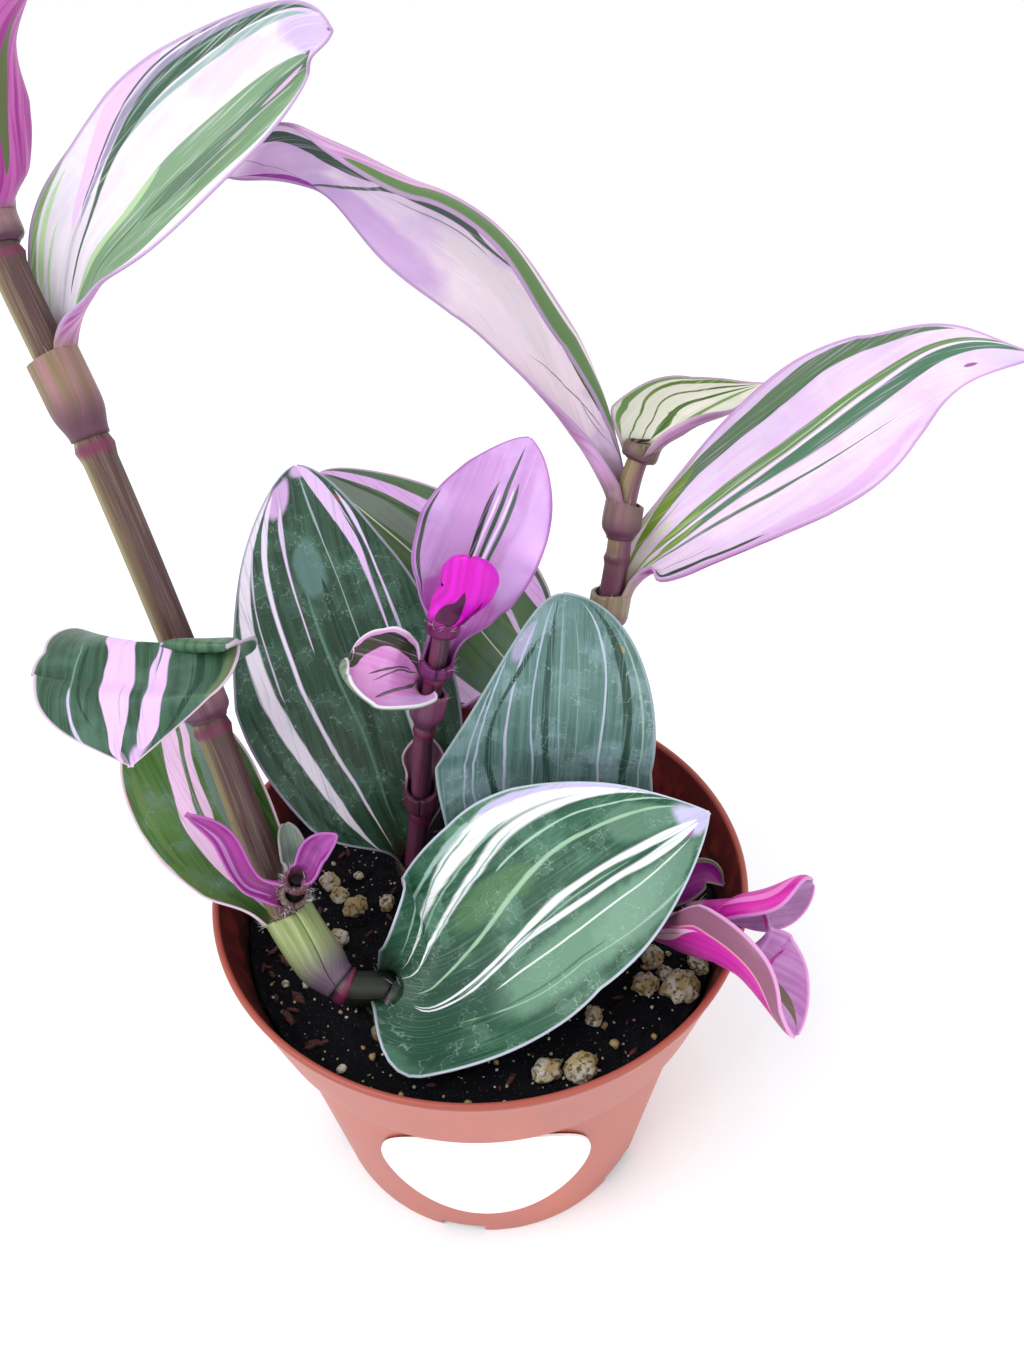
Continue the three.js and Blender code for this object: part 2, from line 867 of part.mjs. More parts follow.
// The point of a section at v, which runs from -1 at the right margin to 1 at the left.
function sectionPoint(section, v) {
  const { midrib, along, up, half, bend, wave = 0, lobe = 0, left = 1, right = 1 } = section;
  const side = up.clone().cross(along);
  const radius = half / bend;
  const angle = bend * v * (v > 0 ? left : right);
  return midrib
    .clone()
    .addScaledVector(side, radius * Math.sin(angle))
    .addScaledVector(up, radius * (1 - Math.cos(angle)) + wave * v * v)
    .addScaledVector(along, -lobe * v * v);
}

// A leaf's solid: its upper side, and an under side one thickness below it.
function leafGeometry(leaf) {
  const { rows, columns } = leaf.half > WIDE_LEAF ? WIDE_GRID : NARROW_GRID;
  const sections = leafSections(leaf, rows);
  const upper = sections.map((section) =>
    Array.from({ length: columns + 1 }, (_, j) => sectionPoint(section, (2 * j) / columns - 1)),
  );
  const lower = upper.map((row, i) =>
    row.map((point, j) => {
      const ahead = upper[Math.min(i + 1, upper.length - 1)][j];
      const behind = upper[Math.max(i - 1, 0)][j];
      const right = row[Math.min(j + 1, columns)];
      const left = row[Math.max(j - 1, 0)];
      const normal = ahead.clone().sub(behind).cross(right.clone().sub(left)).normalize();
      return point.clone().addScaledVector(normal, -LEAF_THICKNESS);
    }),
  );
  return skin(lower.map((row, i) => [...row, ...upper[i].reverse()]));
}

// Bud: a rolled tip that stands on the soil in the axil of the front leaf.
function budGeometry() {
  const [x, y] = CROWN_BUD;
  const foot = SOIL_TOP + soilRelief(x, y) + BUD_CLEARANCE;
  const rise = BUD_HEIGHT / (BUD_RADII.length - 1);
  const stations = BUD_RADII.map((radius, i) => ({
    middle: new THREE.Vector3(x + BUD_LEAN[0] * i, y + BUD_LEAN[1] * i, foot + rise * i),
    along: new THREE.Vector3(0, 0, 1),
    radius,
  }));
  return tube(stations);
}

// The inner radius of the pot's wall at a height.
function innerRadius(z) {
  const stepZ = POT_HEIGHT - BAND_HEIGHT;
  const share = (z - stepZ) / (POT_HEIGHT - stepZ);
  return lerp(BAND_FOOT_RADIUS, RIM_RADIUS, share) - WALL;
}

// How far the soil stands above or below its mean level: lumps of several sizes.
function soilRelief(x, y) {
  const broad = 0.7 * Math.sin(0.13 * x + 1.1) * Math.cos(0.11 * y - 0.6);
  const lumps = 0.5 * Math.sin(0.37 * x - 0.21 * y) * Math.sin(0.33 * y + 0.19 * x + 2);
  const crumbs = 0.35 * Math.sin(0.83 * x + 0.4) * Math.sin(0.91 * y + 1.3);
  return broad + lumps + crumbs;
}

// Soil: fills the pot up to its relief, with the larger perlite grains joined to it, a plain hole for
// each stem, and room for the sheaths that reach down to it.
function soilGeometry() {
  const stepZ = POT_HEIGHT - BAND_HEIGHT;
  const wall = WALL + STEM_ROOM;
  const ring = (radius, height) =>
    Array.from({ length: SOIL_SIDES }, (_, k) => {
      const turn = (2 * Math.PI * k) / SOIL_SIDES;
      const x = radius * Math.cos(turn);
      const y = radius * Math.sin(turn);
      return new THREE.Vector3(x, y, height(x, y));
    });
  const top = (x, y) => SOIL_TOP + soilRelief(x, y);
  const edge = innerRadius(SOIL_TOP - 1.5) - STEM_ROOM;
  const rings = [
    ring(1, () => FLOOR + SEAT_GAP),
    ring(BASE_RADIUS - wall, () => FLOOR + SEAT_GAP),
    ring(BODY_TOP_RADIUS - wall, () => stepZ - 0.4),
    ring(BAND_FOOT_RADIUS - wall, () => stepZ + 0.8),
    ring(edge, top),
  ];
  for (let i = 1; i <= SOIL_RINGS; i++) {
    rings.push(ring(edge * (1 - i / (SOIL_RINGS + CENTRE_RING)), top));
  }
  let soil = solid(skin(rings));
  PERLITE.forEach(([x, y, size], i) => {
    const grain = new THREE.IcosahedronGeometry(size / 2, 0).scale(...GRAIN_SHAPE);
    grain.rotateX(i).rotateZ(2 * i);
    grain.translate(x, y, top(x, y) + GRAIN_LIFT * size);
    soil = soil.add(solid(grain));
  });
  for (const stem of Object.values(STEMS)) {
    if (!stem.growsFrom) soil = soil.subtract(widened(stemStations(stem), STEM_ROOM));
  }
  for (const { clasps } of Object.values(LEAVES)) {
    const [stemName, from, to] = clasps;
    const around = [from - 0.1, to, to + 0.5].map((place) => stemAt(STEMS[stemName], place));
    const room = SHEATH_GAP + LEAF_THICKNESS + SHEATH_ROOM;
    if (around[0].middle.z < SOIL_TOP + 3) soil = soil.subtract(widened(around, room));
  }
  return geometryOf(soil);
}

// A stem with the shoots that grow from it.
function stemGeometry(name) {
  const shoots = Object.values(STEMS).filter((stem) => stem.growsFrom === name);
  const trunk = solid(tube(stemStations(STEMS[name])));
  return geometryOf(shoots.reduce((body, stem) => body.add(solid(tube(stemStations(stem)))), trunk));
}

const group = new THREE.Group();
group.add(mesh("pot", potGeometry(), TERRACOTTA, 0.45));
group.add(mesh("label", labelGeometry(), PAPER_WHITE, 0.6));
group.add(mesh("soil", soilGeometry(), SOIL_BLACK, 0.95));
group.add(mesh("crown_bud", budGeometry(), FRESH_GREEN, 0.5));
for (const [name, stem] of Object.entries(STEMS)) {
  if (!stem.growsFrom) group.add(mesh(name, stemGeometry(name), stem.color, 0.45));
}
for (const [name, leaf] of Object.entries(LEAVES)) {
  group.add(mesh(name, leafGeometry(leaf), leaf.color, 0.4));
}

export default group;
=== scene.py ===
# A tradescantia with striped leaves in a nursery pot: pot, label, soil, four stems and their leaves.
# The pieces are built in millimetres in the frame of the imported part, +Z up, the label towards -Y.
import math
import random

import bmesh
import bpy
import numpy as np
from mathutils import Matrix, Vector, noise


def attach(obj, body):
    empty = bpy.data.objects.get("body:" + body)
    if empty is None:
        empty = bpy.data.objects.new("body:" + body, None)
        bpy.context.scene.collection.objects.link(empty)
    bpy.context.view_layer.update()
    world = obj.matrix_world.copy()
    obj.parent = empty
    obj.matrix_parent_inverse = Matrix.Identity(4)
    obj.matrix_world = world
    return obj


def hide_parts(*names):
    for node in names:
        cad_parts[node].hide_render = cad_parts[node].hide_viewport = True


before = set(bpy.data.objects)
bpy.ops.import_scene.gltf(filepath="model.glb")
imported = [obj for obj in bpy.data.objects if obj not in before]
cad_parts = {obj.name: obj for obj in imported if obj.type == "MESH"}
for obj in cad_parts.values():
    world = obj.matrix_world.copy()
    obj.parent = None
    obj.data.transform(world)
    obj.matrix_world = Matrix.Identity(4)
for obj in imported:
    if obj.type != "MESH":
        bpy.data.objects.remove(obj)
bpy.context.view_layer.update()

# The pot: a thin-walled nursery pot, injection moulded in terracotta-coloured plastic. A plain band
# stiffens its rim, and six drain notches are moulded through the corner of its base. The wall is
# turned round its axis from a profile of radius and height, and the notches are cut out of it.
MM, TURN = 0.001, 2 * math.pi
POT_SIDES = 160
POT_OUTSIDE = [
    (30, 0), (35.8, 0), (36.5, 0.15), (36.9, 0.5), (37.05, 1.1), (37.5, 4.5), (39, 14.8), (41, 28.6),
    (43, 42.3), (44.6, 53.3), (45.2, 57.6), (45.4, 58.1), (45.8, 58.3), (46.9, 58.3), (47.4, 58.4),
    (47.65, 58.7), (47.75, 59.1), (48.9, 63.8), (50.3, 69.7), (51.5, 74.7), (52.1, 77.2),
]
POT_LIP = [
    (52.35, 77.7), (52.48, 78.1), (52.48, 78.45), (52.35, 78.75), (52.1, 78.95), (51.8, 79), (51.5, 78.9),
    (51.3, 78.6),
]
POT_INSIDE = [
    (51.1, 77.8), (50.2, 74.4), (48.6, 67.8), (46.7, 60), (46.5, 59.4), (46.1, 59), (45.1, 58.7),
    (44.5, 58.3), (44.3, 57.6), (42.5, 45.2), (40.3, 30.2), (38, 14.6), (36, 2.9), (35.6, 2.2), (35, 2),
]
NOTCHES, FIRST_NOTCH = 6, math.radians(-99.4)
NOTCH_WIDTH, NOTCH_HEIGHT, NOTCH_DEPTH, NOTCH_REACH = 9.5, 3.2, 5, 37


def colour(code):
    """The linear colour of a six-digit sRGB code."""
    parts = [int(code[i : i + 2], 16) / 255 for i in (0, 2, 4)]
    return tuple(c / 12.92 if c <= 0.04045 else ((c + 0.055) / 1.055) ** 2.4 for c in parts) + (1.0,)


def turned(profile, sides):
    """Rings of points round Z, one for each radius and height of a profile."""
    angles = [TURN * k / sides for k in range(sides)]
    return [(r * math.cos(angle), r * math.sin(angle), height) for r, height in profile for angle in angles]


def tube(rings, sides, start=0, closed=True):
    """The faces over rings of points that follow one another, with both ends closed or open."""
    last, faces = start + (rings - 1) * sides, []
    for ring in range(start, last, sides):
        for k in range(sides):
            a, b = ring + k, ring + (k + 1) % sides
            faces.append((a, b, b + sides, a + sides))
    if closed:
        faces += [tuple(range(start, start + sides))[::-1], tuple(range(last, last + sides))]
    return faces


def mesh_piece(name, points, faces, sharp=None, **readings):
    """A smooth piece from points in millimetres, with named readings kept at its points.

    Edges that bend more than the sharp angle, in degrees, stay sharp.
    """
    mesh = bpy.data.meshes.new(name)
    mesh.from_pydata((np.asarray(points, float) * MM).tolist(), [], faces)
    for key, values in readings.items():
        values = np.asarray(values, float)
        kind, entry = ("FLOAT_VECTOR", "vector") if values.ndim == 2 else ("FLOAT", "value")
        mesh.attributes.new(key, kind, "POINT").data.foreach_set(entry, values.ravel())
    mesh.shade_smooth()
    if sharp:
        mesh.set_sharp_from_angle(angle=math.radians(sharp))
    piece = bpy.data.objects.new(name, mesh)
    bpy.context.collection.objects.link(piece)
    return piece


class Finish:
    """A material in the making: its shader, and short ways to add the nodes that feed it."""

    def __init__(self, name, **sockets):
        self.material = bpy.data.materials.new(name)
        self.material.use_nodes = True
        self.tree = self.material.node_tree
        self.shader = self.tree.nodes["Principled BSDF"]
        named = {socket.name.lower(): socket for socket in self.shader.inputs}
        for key, value in sockets.items():
            named[key.replace("_", " ")].default_value = value

    def add(self, kind, inputs, output=0, **settings):
        """An output of a new node, whose inputs are linked or set."""
        made = self.tree.nodes.new("ShaderNode" + kind)
        for key, value in settings.items():
            setattr(made, key, value)
        for key, value in inputs.items():
            if isinstance(value, bpy.types.NodeSocket):
                self.tree.links.new(value, made.inputs[key])
            else:
                made.inputs[key].default_value = value
        return made.outputs[output]

    def reading(self, name, output="Fac"):
        return self.add("Attribute", {}, output, attribute_name=name)

    def place(self):
        return self.add("TexCoord", {}, "Object")

    def calc(self, operation, *values):
        return self.add("Math", dict(enumerate(values)), operation=operation)

    def stretch(self, vector, factors):
        return self.add("VectorMath", {0: vector, 1: factors}, operation="MULTIPLY")

    def grain(self, vector, scale, detail=2.0):
        return self.add("TexNoise", {"Vector": vector, "Scale": scale, "Detail": detail})

    def ease(self, value, start, end, low=0.0, high=1.0):
        """A number that goes smoothly from low to high while the value goes from start to end."""
        inputs = {"Value": value, "From Min": start, "From Max": end, "To Min": low, "To Max": high}
        return self.add("MapRange", inputs, interpolation_type="SMOOTHSTEP")

    def blend(self, share, a, b):
        """A mix of two colours, which are inputs 6 and 7 of its node and output 2."""
        return self.add("Mix", {0: share, 6: a, 7: b}, 2, data_type="RGBA")

    def ridges(self, height, strength, depth_mm):
        inputs = {"Height": height, "Strength": strength, "Distance": depth_mm * MM}
        self.feed("Normal", self.add("Bump", inputs))

    def feed(self, socket, value):
        self.tree.links.new(value, self.shader.inputs[socket])


profile = POT_OUTSIDE + POT_LIP + POT_INSIDE
# How far each ring belongs to the inside, for the finish.
inside = np.repeat([0, 0.35, 1], [len(POT_OUTSIDE), len(POT_LIP), len(POT_INSIDE)])
walls = turned(profile, POT_SIDES), tube(len(profile), POT_SIDES)
pot = mesh_piece("nursery_pot", *walls, inside=np.repeat(inside, POT_SIDES))
cutters = bmesh.new()
notch_size = Matrix.Diagonal((2 * NOTCH_DEPTH * MM, NOTCH_WIDTH * MM, 2 * NOTCH_HEIGHT * MM, 1))
for k in range(NOTCHES):
    turn = Matrix.Rotation(FIRST_NOTCH + TURN * k / NOTCHES, 4, "Z")
    out = Matrix.Translation((NOTCH_REACH * MM, 0, 0))
    bmesh.ops.create_cube(cutters, size=1, matrix=turn @ out @ notch_size)
notch_mesh = bpy.data.meshes.new("notch_cutters")
cutters.to_mesh(notch_mesh)
cutters.free()
notch_cutters = bpy.data.objects.new("notch_cutters", notch_mesh)
bpy.context.collection.objects.link(notch_cutters)
cut = pot.modifiers.new("notches", "BOOLEAN")
cut.object, cut.operation, cut.solver = notch_cutters, "DIFFERENCE", "EXACT"
notched = bpy.data.meshes.new_from_object(pot.evaluated_get(bpy.context.evaluated_depsgraph_get()))
pot.modifiers.clear()
pot.data = notched
bpy.data.objects.remove(notch_cutters)
pot.data.set_sharp_from_angle(angle=math.radians(40))

plastic = Finish("terracotta_plastic", specular_ior_level=0.5)
place = plastic.place()
height = plastic.add("SeparateXYZ", {0: place}, 2)
mottle = plastic.grain(plastic.stretch(place, (1, 1, 0.35)), 70, 4)
speckle = plastic.grain(place, 900, 3)
scuffs = plastic.grain(plastic.stretch(place, (1, 1, 6)), 160, 5)
skin = plastic.blend(plastic.ease(mottle, 0.3, 0.75), colour("a64f40"), colour("b96452"))
skin = plastic.blend(plastic.ease(speckle, 0.66, 0.78, 0, 0.35), skin, colour("d08a78"))
skin = plastic.blend(plastic.ease(scuffs, 0.64, 0.74, 0, 0.4), skin, colour("8e4034"))
# Painted shade: the lip, above 77.2 mm, is painted a darker red than the wall below it.
skin = plastic.blend(plastic.ease(height, 0.0772, 0.0782), skin, colour("9a4638"))
dust = plastic.grain(plastic.stretch(place, (1, 1, 0.5)), 240, 6)
# Painted shade inside the pot: the inner wall is painted much darker than the outside, with dust streaks in
# it; lower down, soil dirt darkens it further.
wall = plastic.blend(plastic.ease(dust, 0.45, 0.7), colour("571617"), colour("7a2a26"))
soiled = plastic.calc("MULTIPLY", plastic.ease(height, 0.0745, 0.0655), plastic.ease(dust, 0.62, 0.5))
wall = plastic.blend(soiled, wall, colour("2a1313"))
# The painted shade of the inner wall takes over from the outer skin across the lip.
inside_shade = plastic.ease(plastic.reading("inside"), 0.5, 0.9)
plastic.feed("Base Color", plastic.blend(inside_shade, skin, wall))
plastic.feed("Roughness", plastic.ease(mottle, 0.2, 0.8, 0.36, 0.5))
plastic.ridges(plastic.blend(0.3, speckle, scuffs), 0.25, 0.06)
pot.data.materials.append(plastic.material)
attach(pot, "root")
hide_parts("pot")

# The label: a round sticker of white matt paper, 42 mm across, stuck on the front of the pot under its
# band. It is a closed sheet, made flat in rings and bent round the pot's cone, and is left blank.
LABEL_RADIUS, LABEL_MIDDLE, LABEL_LIFT, LABEL_THICKNESS, LABEL_BEVEL = 21, 35.7, 0.3, 0.45, 0.12
LABEL_RINGS, LABEL_SIDES = 14, 96
WALL_FOOT, WALL_SPREAD, WALL_HEIGHT = 37, 8.5, 58.8


def wall_radius(height):
    """The radius of the pot's wall under its band."""
    return WALL_FOOT + WALL_SPREAD * height / WALL_HEIGHT


def on_wall(across, height, lift):
    """A point over the pot's wall: so far round from its front, at a height, lifted off the wall."""
    radius = wall_radius(height) + lift
    angle = across / wall_radius(LABEL_MIDDLE) - math.pi / 2
    return radius * math.cos(angle), radius * math.sin(angle), height


steps = range(1, LABEL_RINGS + 1)
rings = [(LABEL_LIFT, LABEL_RADIUS * step / LABEL_RINGS) for step in steps]
face_radius, face_lift = LABEL_RADIUS - LABEL_BEVEL, LABEL_LIFT + LABEL_THICKNESS
rings += [(face_lift, face_radius * step / LABEL_RINGS) for step in steps[::-1]]
label_points = []
for lift, reach in rings:
    for across, upward, _ in turned([(reach, 0)], LABEL_SIDES):
        label_points.append(on_wall(across, LABEL_MIDDLE + upward, lift))
label = mesh_piece("blank_label", label_points, tube(len(rings), LABEL_SIDES), sharp=40)

paper = Finish("label_paper", specular_ior_level=0.4)
place = paper.place()
fibre = paper.grain(place, 2600, 4)
cloud = paper.grain(place, 120, 3)
paper.feed("Base Color", paper.blend(paper.ease(cloud, 0.3, 0.7), colour("f3f3f1"), colour("fafaf8")))
paper.feed("Roughness", paper.ease(fibre, 0.3, 0.7, 0.5, 0.62))
paper.ridges(fibre, 0.15, 0.02)
label.data.materials.append(paper.material)
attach(label, "root")
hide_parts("label")

# The soil: dark peat mix, filled to 13 mm under the rim and settled into lumps. Popped perlite
# grains, tan crumbs and scraps of bark lie half sunk in it, and the whole is one piece.
SOIL_TOP, SOIL_EDGE = 66, 47.5
SOIL_RINGS, SOIL_SIDES = 100, 340
SOIL_BED = [(35, 2.4), (44, 58.2), (46.1, 59.8), (47.2, 63.6)]
PEAT, PERLITE, CRUMB, BARK = range(4)
PERLITE_AT = [
    (11.7, -38.8, 5), (18, -38.4, 6), (33.2, -15.2, 4.5), (42, -16, 5), (37.7, -22.2, 6.5),
    (31.1, -21.5, 5), (20.7, -28.2, 4), (-32.3, 5.5, 4.5), (-26.4, -0.5, 5), (-29.8, 2.2, 3.5),
    (-19.8, -0.1, 3.5), (-28.6, -8.8, 4), (35.3, -18.7, 3.5),
]
RED_BARK_AT = [(-38, -14, 4), (-35, -22, 3.5), (-40, -8, 3), (-36, -27, 3.5), (-41, -11, 3), (-31, -32, 3)]
# How many grains, their least and largest size, what they are, how fine their mesh is, their form.
STREWN = [
    (46, 0.9, 2.2, PERLITE, 2, (1, 0.85, 0.7)),
    (800, 0.25, 0.8, PERLITE, 1, (1, 0.8, 0.7)),
    (50, 0.8, 1.7, CRUMB, 2, (1, 0.8, 0.7)),
    (150, 1.2, 3.2, BARK, 1, (1, 0.35, 0.3)),
]
STREWN_KNOBS, LARGE_KNOBS, SMALL_KNOBS, SMALL_SHARE = 0.45, 3.4, 9, 0.4
GRAIN_LIFT, GRAIN_SWELL = 0.13, 1.08
rng = random.Random(11)


def lumps(x, y, z, size):
    return noise.noise(Vector((x, y, z)) / size)


def soil_relief(x, y):
    """How far the soil stands above or below its mean level: the same low waves as in the part."""
    broad = 0.7 * math.sin(0.13 * x + 1.1) * math.cos(0.11 * y - 0.6)
    middle = 0.5 * math.sin(0.37 * x - 0.21 * y) * math.sin(0.33 * y + 0.19 * x + 2)
    return broad + middle + 0.35 * math.sin(0.83 * x + 0.4) * math.sin(0.91 * y + 1.3)


def soil_height(x, y):
    """The height of the soil, with its grains down to half a millimetre."""
    grains = 0.55 * lumps(x, y, 1, 2.2) + 0.4 * lumps(x, y, 5, 1.0) + 0.22 * lumps(x, y, 9, 0.5)
    return SOIL_TOP + soil_relief(x, y) + grains


soil_points = turned(SOIL_BED, SOIL_SIDES)
for ring in range(SOIL_RINGS):
    reach = SOIL_EDGE * (1 - ring / SOIL_RINGS)
    for k in range(SOIL_SIDES):
        angle = TURN * (k + 0.5 * (ring % 2)) / SOIL_SIDES
        x, y = reach * math.cos(angle), reach * math.sin(angle)
        soil_points.append((x, y, soil_height(x, y)))
soil_faces = tube(len(SOIL_BED) + SOIL_RINGS, SOIL_SIDES)
soil_kind = [PEAT] * len(soil_faces)


def ball(fineness):
    """Points and faces of a ball one millimetre across, to be knocked into a grain."""
    form = bmesh.new()
    bmesh.ops.create_icosphere(form, subdivisions=fineness, radius=0.5)
    made = [v.co.copy() for v in form.verts], [tuple(v.index for v in f.verts) for f in form.faces]
    form.free()
    return made


BALLS = {fineness: ball(fineness) for fineness in (1, 2, 4)}


def sink(x, y, size, kind, fineness, stretch, knobs):
    """Lays a knobbly grain of a kind in the soil, its middle a little over the soil's height."""
    points, faces = BALLS[fineness]
    turn = Matrix.Rotation(rng.uniform(0, 6.28), 3, "Z") @ Matrix.Rotation(rng.uniform(-0.6, 0.6), 3, "X")
    seed = rng.uniform(0, 99)
    base = len(soil_points)
    centre = Vector((x, y, soil_height(x, y) + GRAIN_LIFT * size))
    for p in points:
        large = noise.noise(p * LARGE_KNOBS + Vector((seed, 0, 0)))
        small = noise.noise(p * SMALL_KNOBS + Vector((0, seed, 0)))
        bulge = 1 + knobs * (large + SMALL_SHARE * small)
        grain = turn @ Vector([part * factor for part, factor in zip(p, stretch)])
        soil_points.append(tuple(centre + grain * size * bulge * GRAIN_SWELL))
    soil_faces.extend(tuple(base + i for i in face) for face in faces)
    soil_kind.extend([kind] * len(faces))


for x, y, size in PERLITE_AT:
    sink(x, y, size, PERLITE, 4, (1, rng.uniform(0.7, 0.95), 0.75), 0.3)
for x, y, size in RED_BARK_AT:
    sink(x, y, size, BARK, 2, (1, 0.45, 0.2), 0.7)
for count, low, high, kind, fineness, stretch in STREWN:
    for _ in range(count):
        reach, angle = (SOIL_EDGE - 2) * math.sqrt(rng.random()), rng.uniform(0, TURN)
        x, y = reach * math.cos(angle), reach * math.sin(angle)
        sink(x, y, rng.uniform(low, high), kind, fineness, stretch, STREWN_KNOBS)
soil = mesh_piece("potting_soil", soil_points, soil_faces)

peat = Finish("peat_mix", specular_ior_level=0.15)
place = peat.place()
crumb = peat.grain(place, 700, 6)
bits = peat.grain(place, 2400, 2)
dark = peat.blend(peat.ease(crumb, 0.35, 0.7), colour("020308"), colour("0d0d14"))
peat.feed("Base Color", peat.blend(peat.ease(bits, 0.64, 0.74, 0, 0.5), dark, colour("5a5c68")))
peat.feed("Roughness", peat.ease(crumb, 0.3, 0.7, 0.75, 0.95))
peat.ridges(crumb, 0.8, 0.5)
popped = Finish("perlite", roughness=0.85, specular_ior_level=0.2)
place = popped.place()
pores = popped.grain(place, 1100, 5)
tint = popped.grain(place, 300, 3)
chalk = popped.blend(popped.ease(tint, 0.4, 0.6), colour("c6c2b4"), colour("a8966a"))
popped.feed("Base Color", popped.blend(popped.ease(pores, 0.5, 0.38), chalk, colour("6a5835")))
popped.ridges(pores, 0.6, 0.35)
tan = Finish("tan_crumb", roughness=0.8)
fleck = tan.grain(tan.place(), 1500, 4)
tan.feed("Base Color", tan.blend(tan.ease(fleck, 0.35, 0.65), colour("7a6440"), colour("b39a66")))
tan.ridges(fleck, 0.6, 0.3)
bark = Finish("bark_scrap", roughness=0.8)
fibre = bark.grain(bark.stretch(bark.place(), (1, 3, 3)), 900, 4)
bark.feed("Base Color", bark.blend(bark.ease(fibre, 0.35, 0.65), colour("2c1214"), colour("5a2a26")))
bark.ridges(fibre, 0.6, 0.3)
for finish in (peat, popped, tan, bark):
    soil.data.materials.append(finish.material)
soil.data.polygons.foreach_set("material_index", soil_kind)
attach(soil, "root")
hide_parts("soil")

# The stems: four juicy, unbranched stems, purple-brown with fine lengthwise streaks and a raised,
# darker ring at each node, painted lighter on the side towards the key light and with painted shade on
# the other. They stand in the soil; the tall one carries a short side shoot that grows out of it. Each
# is a round tube along a smooth line through its points.
STEM_SIDES, STATIONS = 40, 22
RING_RISE, RING_REACH, STREAK_RUN = 0.15, 0.75, 0.02
# Each set of ribs: their height as a share of the radius, their number, and their turn.
RIBS = ((0.012, 9, 0), (0.008, 14, 1))
STEMS = {
    "stem_tall": dict(
        points=[
            (-14.5, -21.5, 51), (-16, -23.5, 64), (-18.5, -23.7, 70.3), (-25, -24, 72.3), (-36, -14, 82),
            (-48, 4.6, 111), (-63, 24.4, 157.8), (-73.6, 36, 186), (-79, 44, 203), (-81, 48, 212),
        ],
        radius=(3.4, 2.8), nodes=[1, 3, 5, 6, 7],
    ),
    "side_shoot": dict(
        points=[(-38.5, -11.5, 85), (-35, -15, 87), (-33, -16.6, 90), (-32, -16.6, 93.5)],
        radius=(1.3, 1), nodes=[],
    ),
    "stem_short": dict(
        points=[
            (-15.5, 5.5, 51), (-14.8, 6, 66), (-12.1, 7.5, 84.4), (-9.8, 8.5, 106.3), (-7.2, 9.3, 118),
            (-5.8, 10, 124.5), (-4.8, 10.5, 129.8),
        ],
        radius=(2.3, 1.5), nodes=[1, 2, 3, 4],
    ),
    "stem_back": dict(
        points=[
            (12, 3, 51), (13, 5, 66), (18.5, 11, 93), (24.5, 20, 119), (27, 25, 133), (28, 28, 141),
            (29.5, 30.5, 147), (31.5, 32.5, 152),
        ],
        radius=(2.8, 1.8), nodes=[2, 3, 4],
    ),
    "stem_right": dict(
        points=[(9, -6, 51), (10, -7, 63), (20, -10.5, 72), (33, -14, 76), (42, -16, 80)],
        radius=(2.2, 1.5), nodes=[1],
    ),
}


def unit(v):
    return v / np.linalg.norm(v, axis=-1, keepdims=True)


def square_to(v, along):
    """The part of v square to a direction, one unit long."""
    return unit(v - np.sum(v * along, -1, keepdims=True) * along)


def smooth_line(points):
    """A smooth line through points, as a function of a share from 0 to 1 that is counted in points."""
    p = np.asarray(points, float)
    p = np.vstack([2 * p[0] - p[1], p, 2 * p[-1] - p[-2]])
    gap = np.sqrt(np.linalg.norm(np.diff(p, axis=0), axis=1))

    def at(share):
        t = np.atleast_1d(np.asarray(share, float)) * (len(p) - 3)
        i = np.clip(np.floor(t).astype(int), 0, len(p) - 4)
        w = (t - i)[:, None]
        x0, x1, x2, x3 = p[i], p[i + 1], p[i + 2], p[i + 3]
        d1 = np.where(gap[i + 1] < 1e-4, 1, gap[i + 1])[:, None]
        d0, d2 = gap[i][:, None], gap[i + 2][:, None]
        d0, d2 = np.where(d0 < 1e-4, d1, d0), np.where(d2 < 1e-4, d1, d2)
        a = ((x1 - x0) / d0 - (x2 - x0) / (d0 + d1) + (x2 - x1) / d1) * d1
        b = ((x2 - x1) / d1 - (x3 - x1) / (d1 + d2) + (x3 - x2) / d2) * d1
        return x1 + a * w + (3 * (x2 - x1) - 2 * a - b) * w**2 + (2 * (x1 - x2) + a + b) * w**3

    return at


def direction(line, share):
    share = np.atleast_1d(share)
    return unit(line(np.minimum(share + 1e-4, 1)) - line(np.maximum(share - 1e-4, 0)))


def run_of(points):
    """How far along a row of points each of them lies."""
    return np.concatenate([[0], np.cumsum(np.linalg.norm(np.diff(points, axis=0), axis=1))])


def stem_at(name, place):
    """The middle, the direction and the radius of a stem at a place counted in points."""
    points, radius = STEMS[name]["points"], STEMS[name]["radius"]
    share = np.clip(np.atleast_1d(place) / (len(points) - 1), 0, 1)
    line = smooth_line(points)
    return line(share), direction(line, share), radius[0] + (radius[1] - radius[0]) * share


def stem_tube(name):
    """The rings of a stem: their points, places round the stem, nearness to a node, and run in mm."""
    stem = STEMS[name]
    place = np.linspace(0, len(stem["points"]) - 1, STATIONS * (len(stem["points"]) - 1) + 1)
    middle, along, radius = stem_at(name, place)
    run = run_of(middle)
    near = np.zeros(len(place))
    for node in stem["nodes"]:
        near = np.maximum(near, np.exp(-(((run - np.interp(node, place, run)) / RING_REACH) ** 2)))
    side = square_to(np.array([0, 1, 0.2]), along)[:, None]
    up = np.cross(along[:, None], side)
    angle = TURN * np.arange(STEM_SIDES) / STEM_SIDES
    cosine, sine = np.cos(angle), np.sin(angle)
    rib = 1 + sum(rise * np.sin(count * angle + shift) for rise, count, shift in RIBS)
    reach = (radius * (1 + RING_RISE * near))[:, None, None] * rib[:, None]
    points = middle[:, None] + reach * (side * cosine[:, None] + up * sine[:, None])
    near, run = (np.repeat(values, STEM_SIDES) for values in (near, run))
    around = np.stack([np.tile(cosine, len(place)), np.tile(sine, len(place)), STREAK_RUN * run], 1)
    return points.reshape(-1, 3), around, near, run


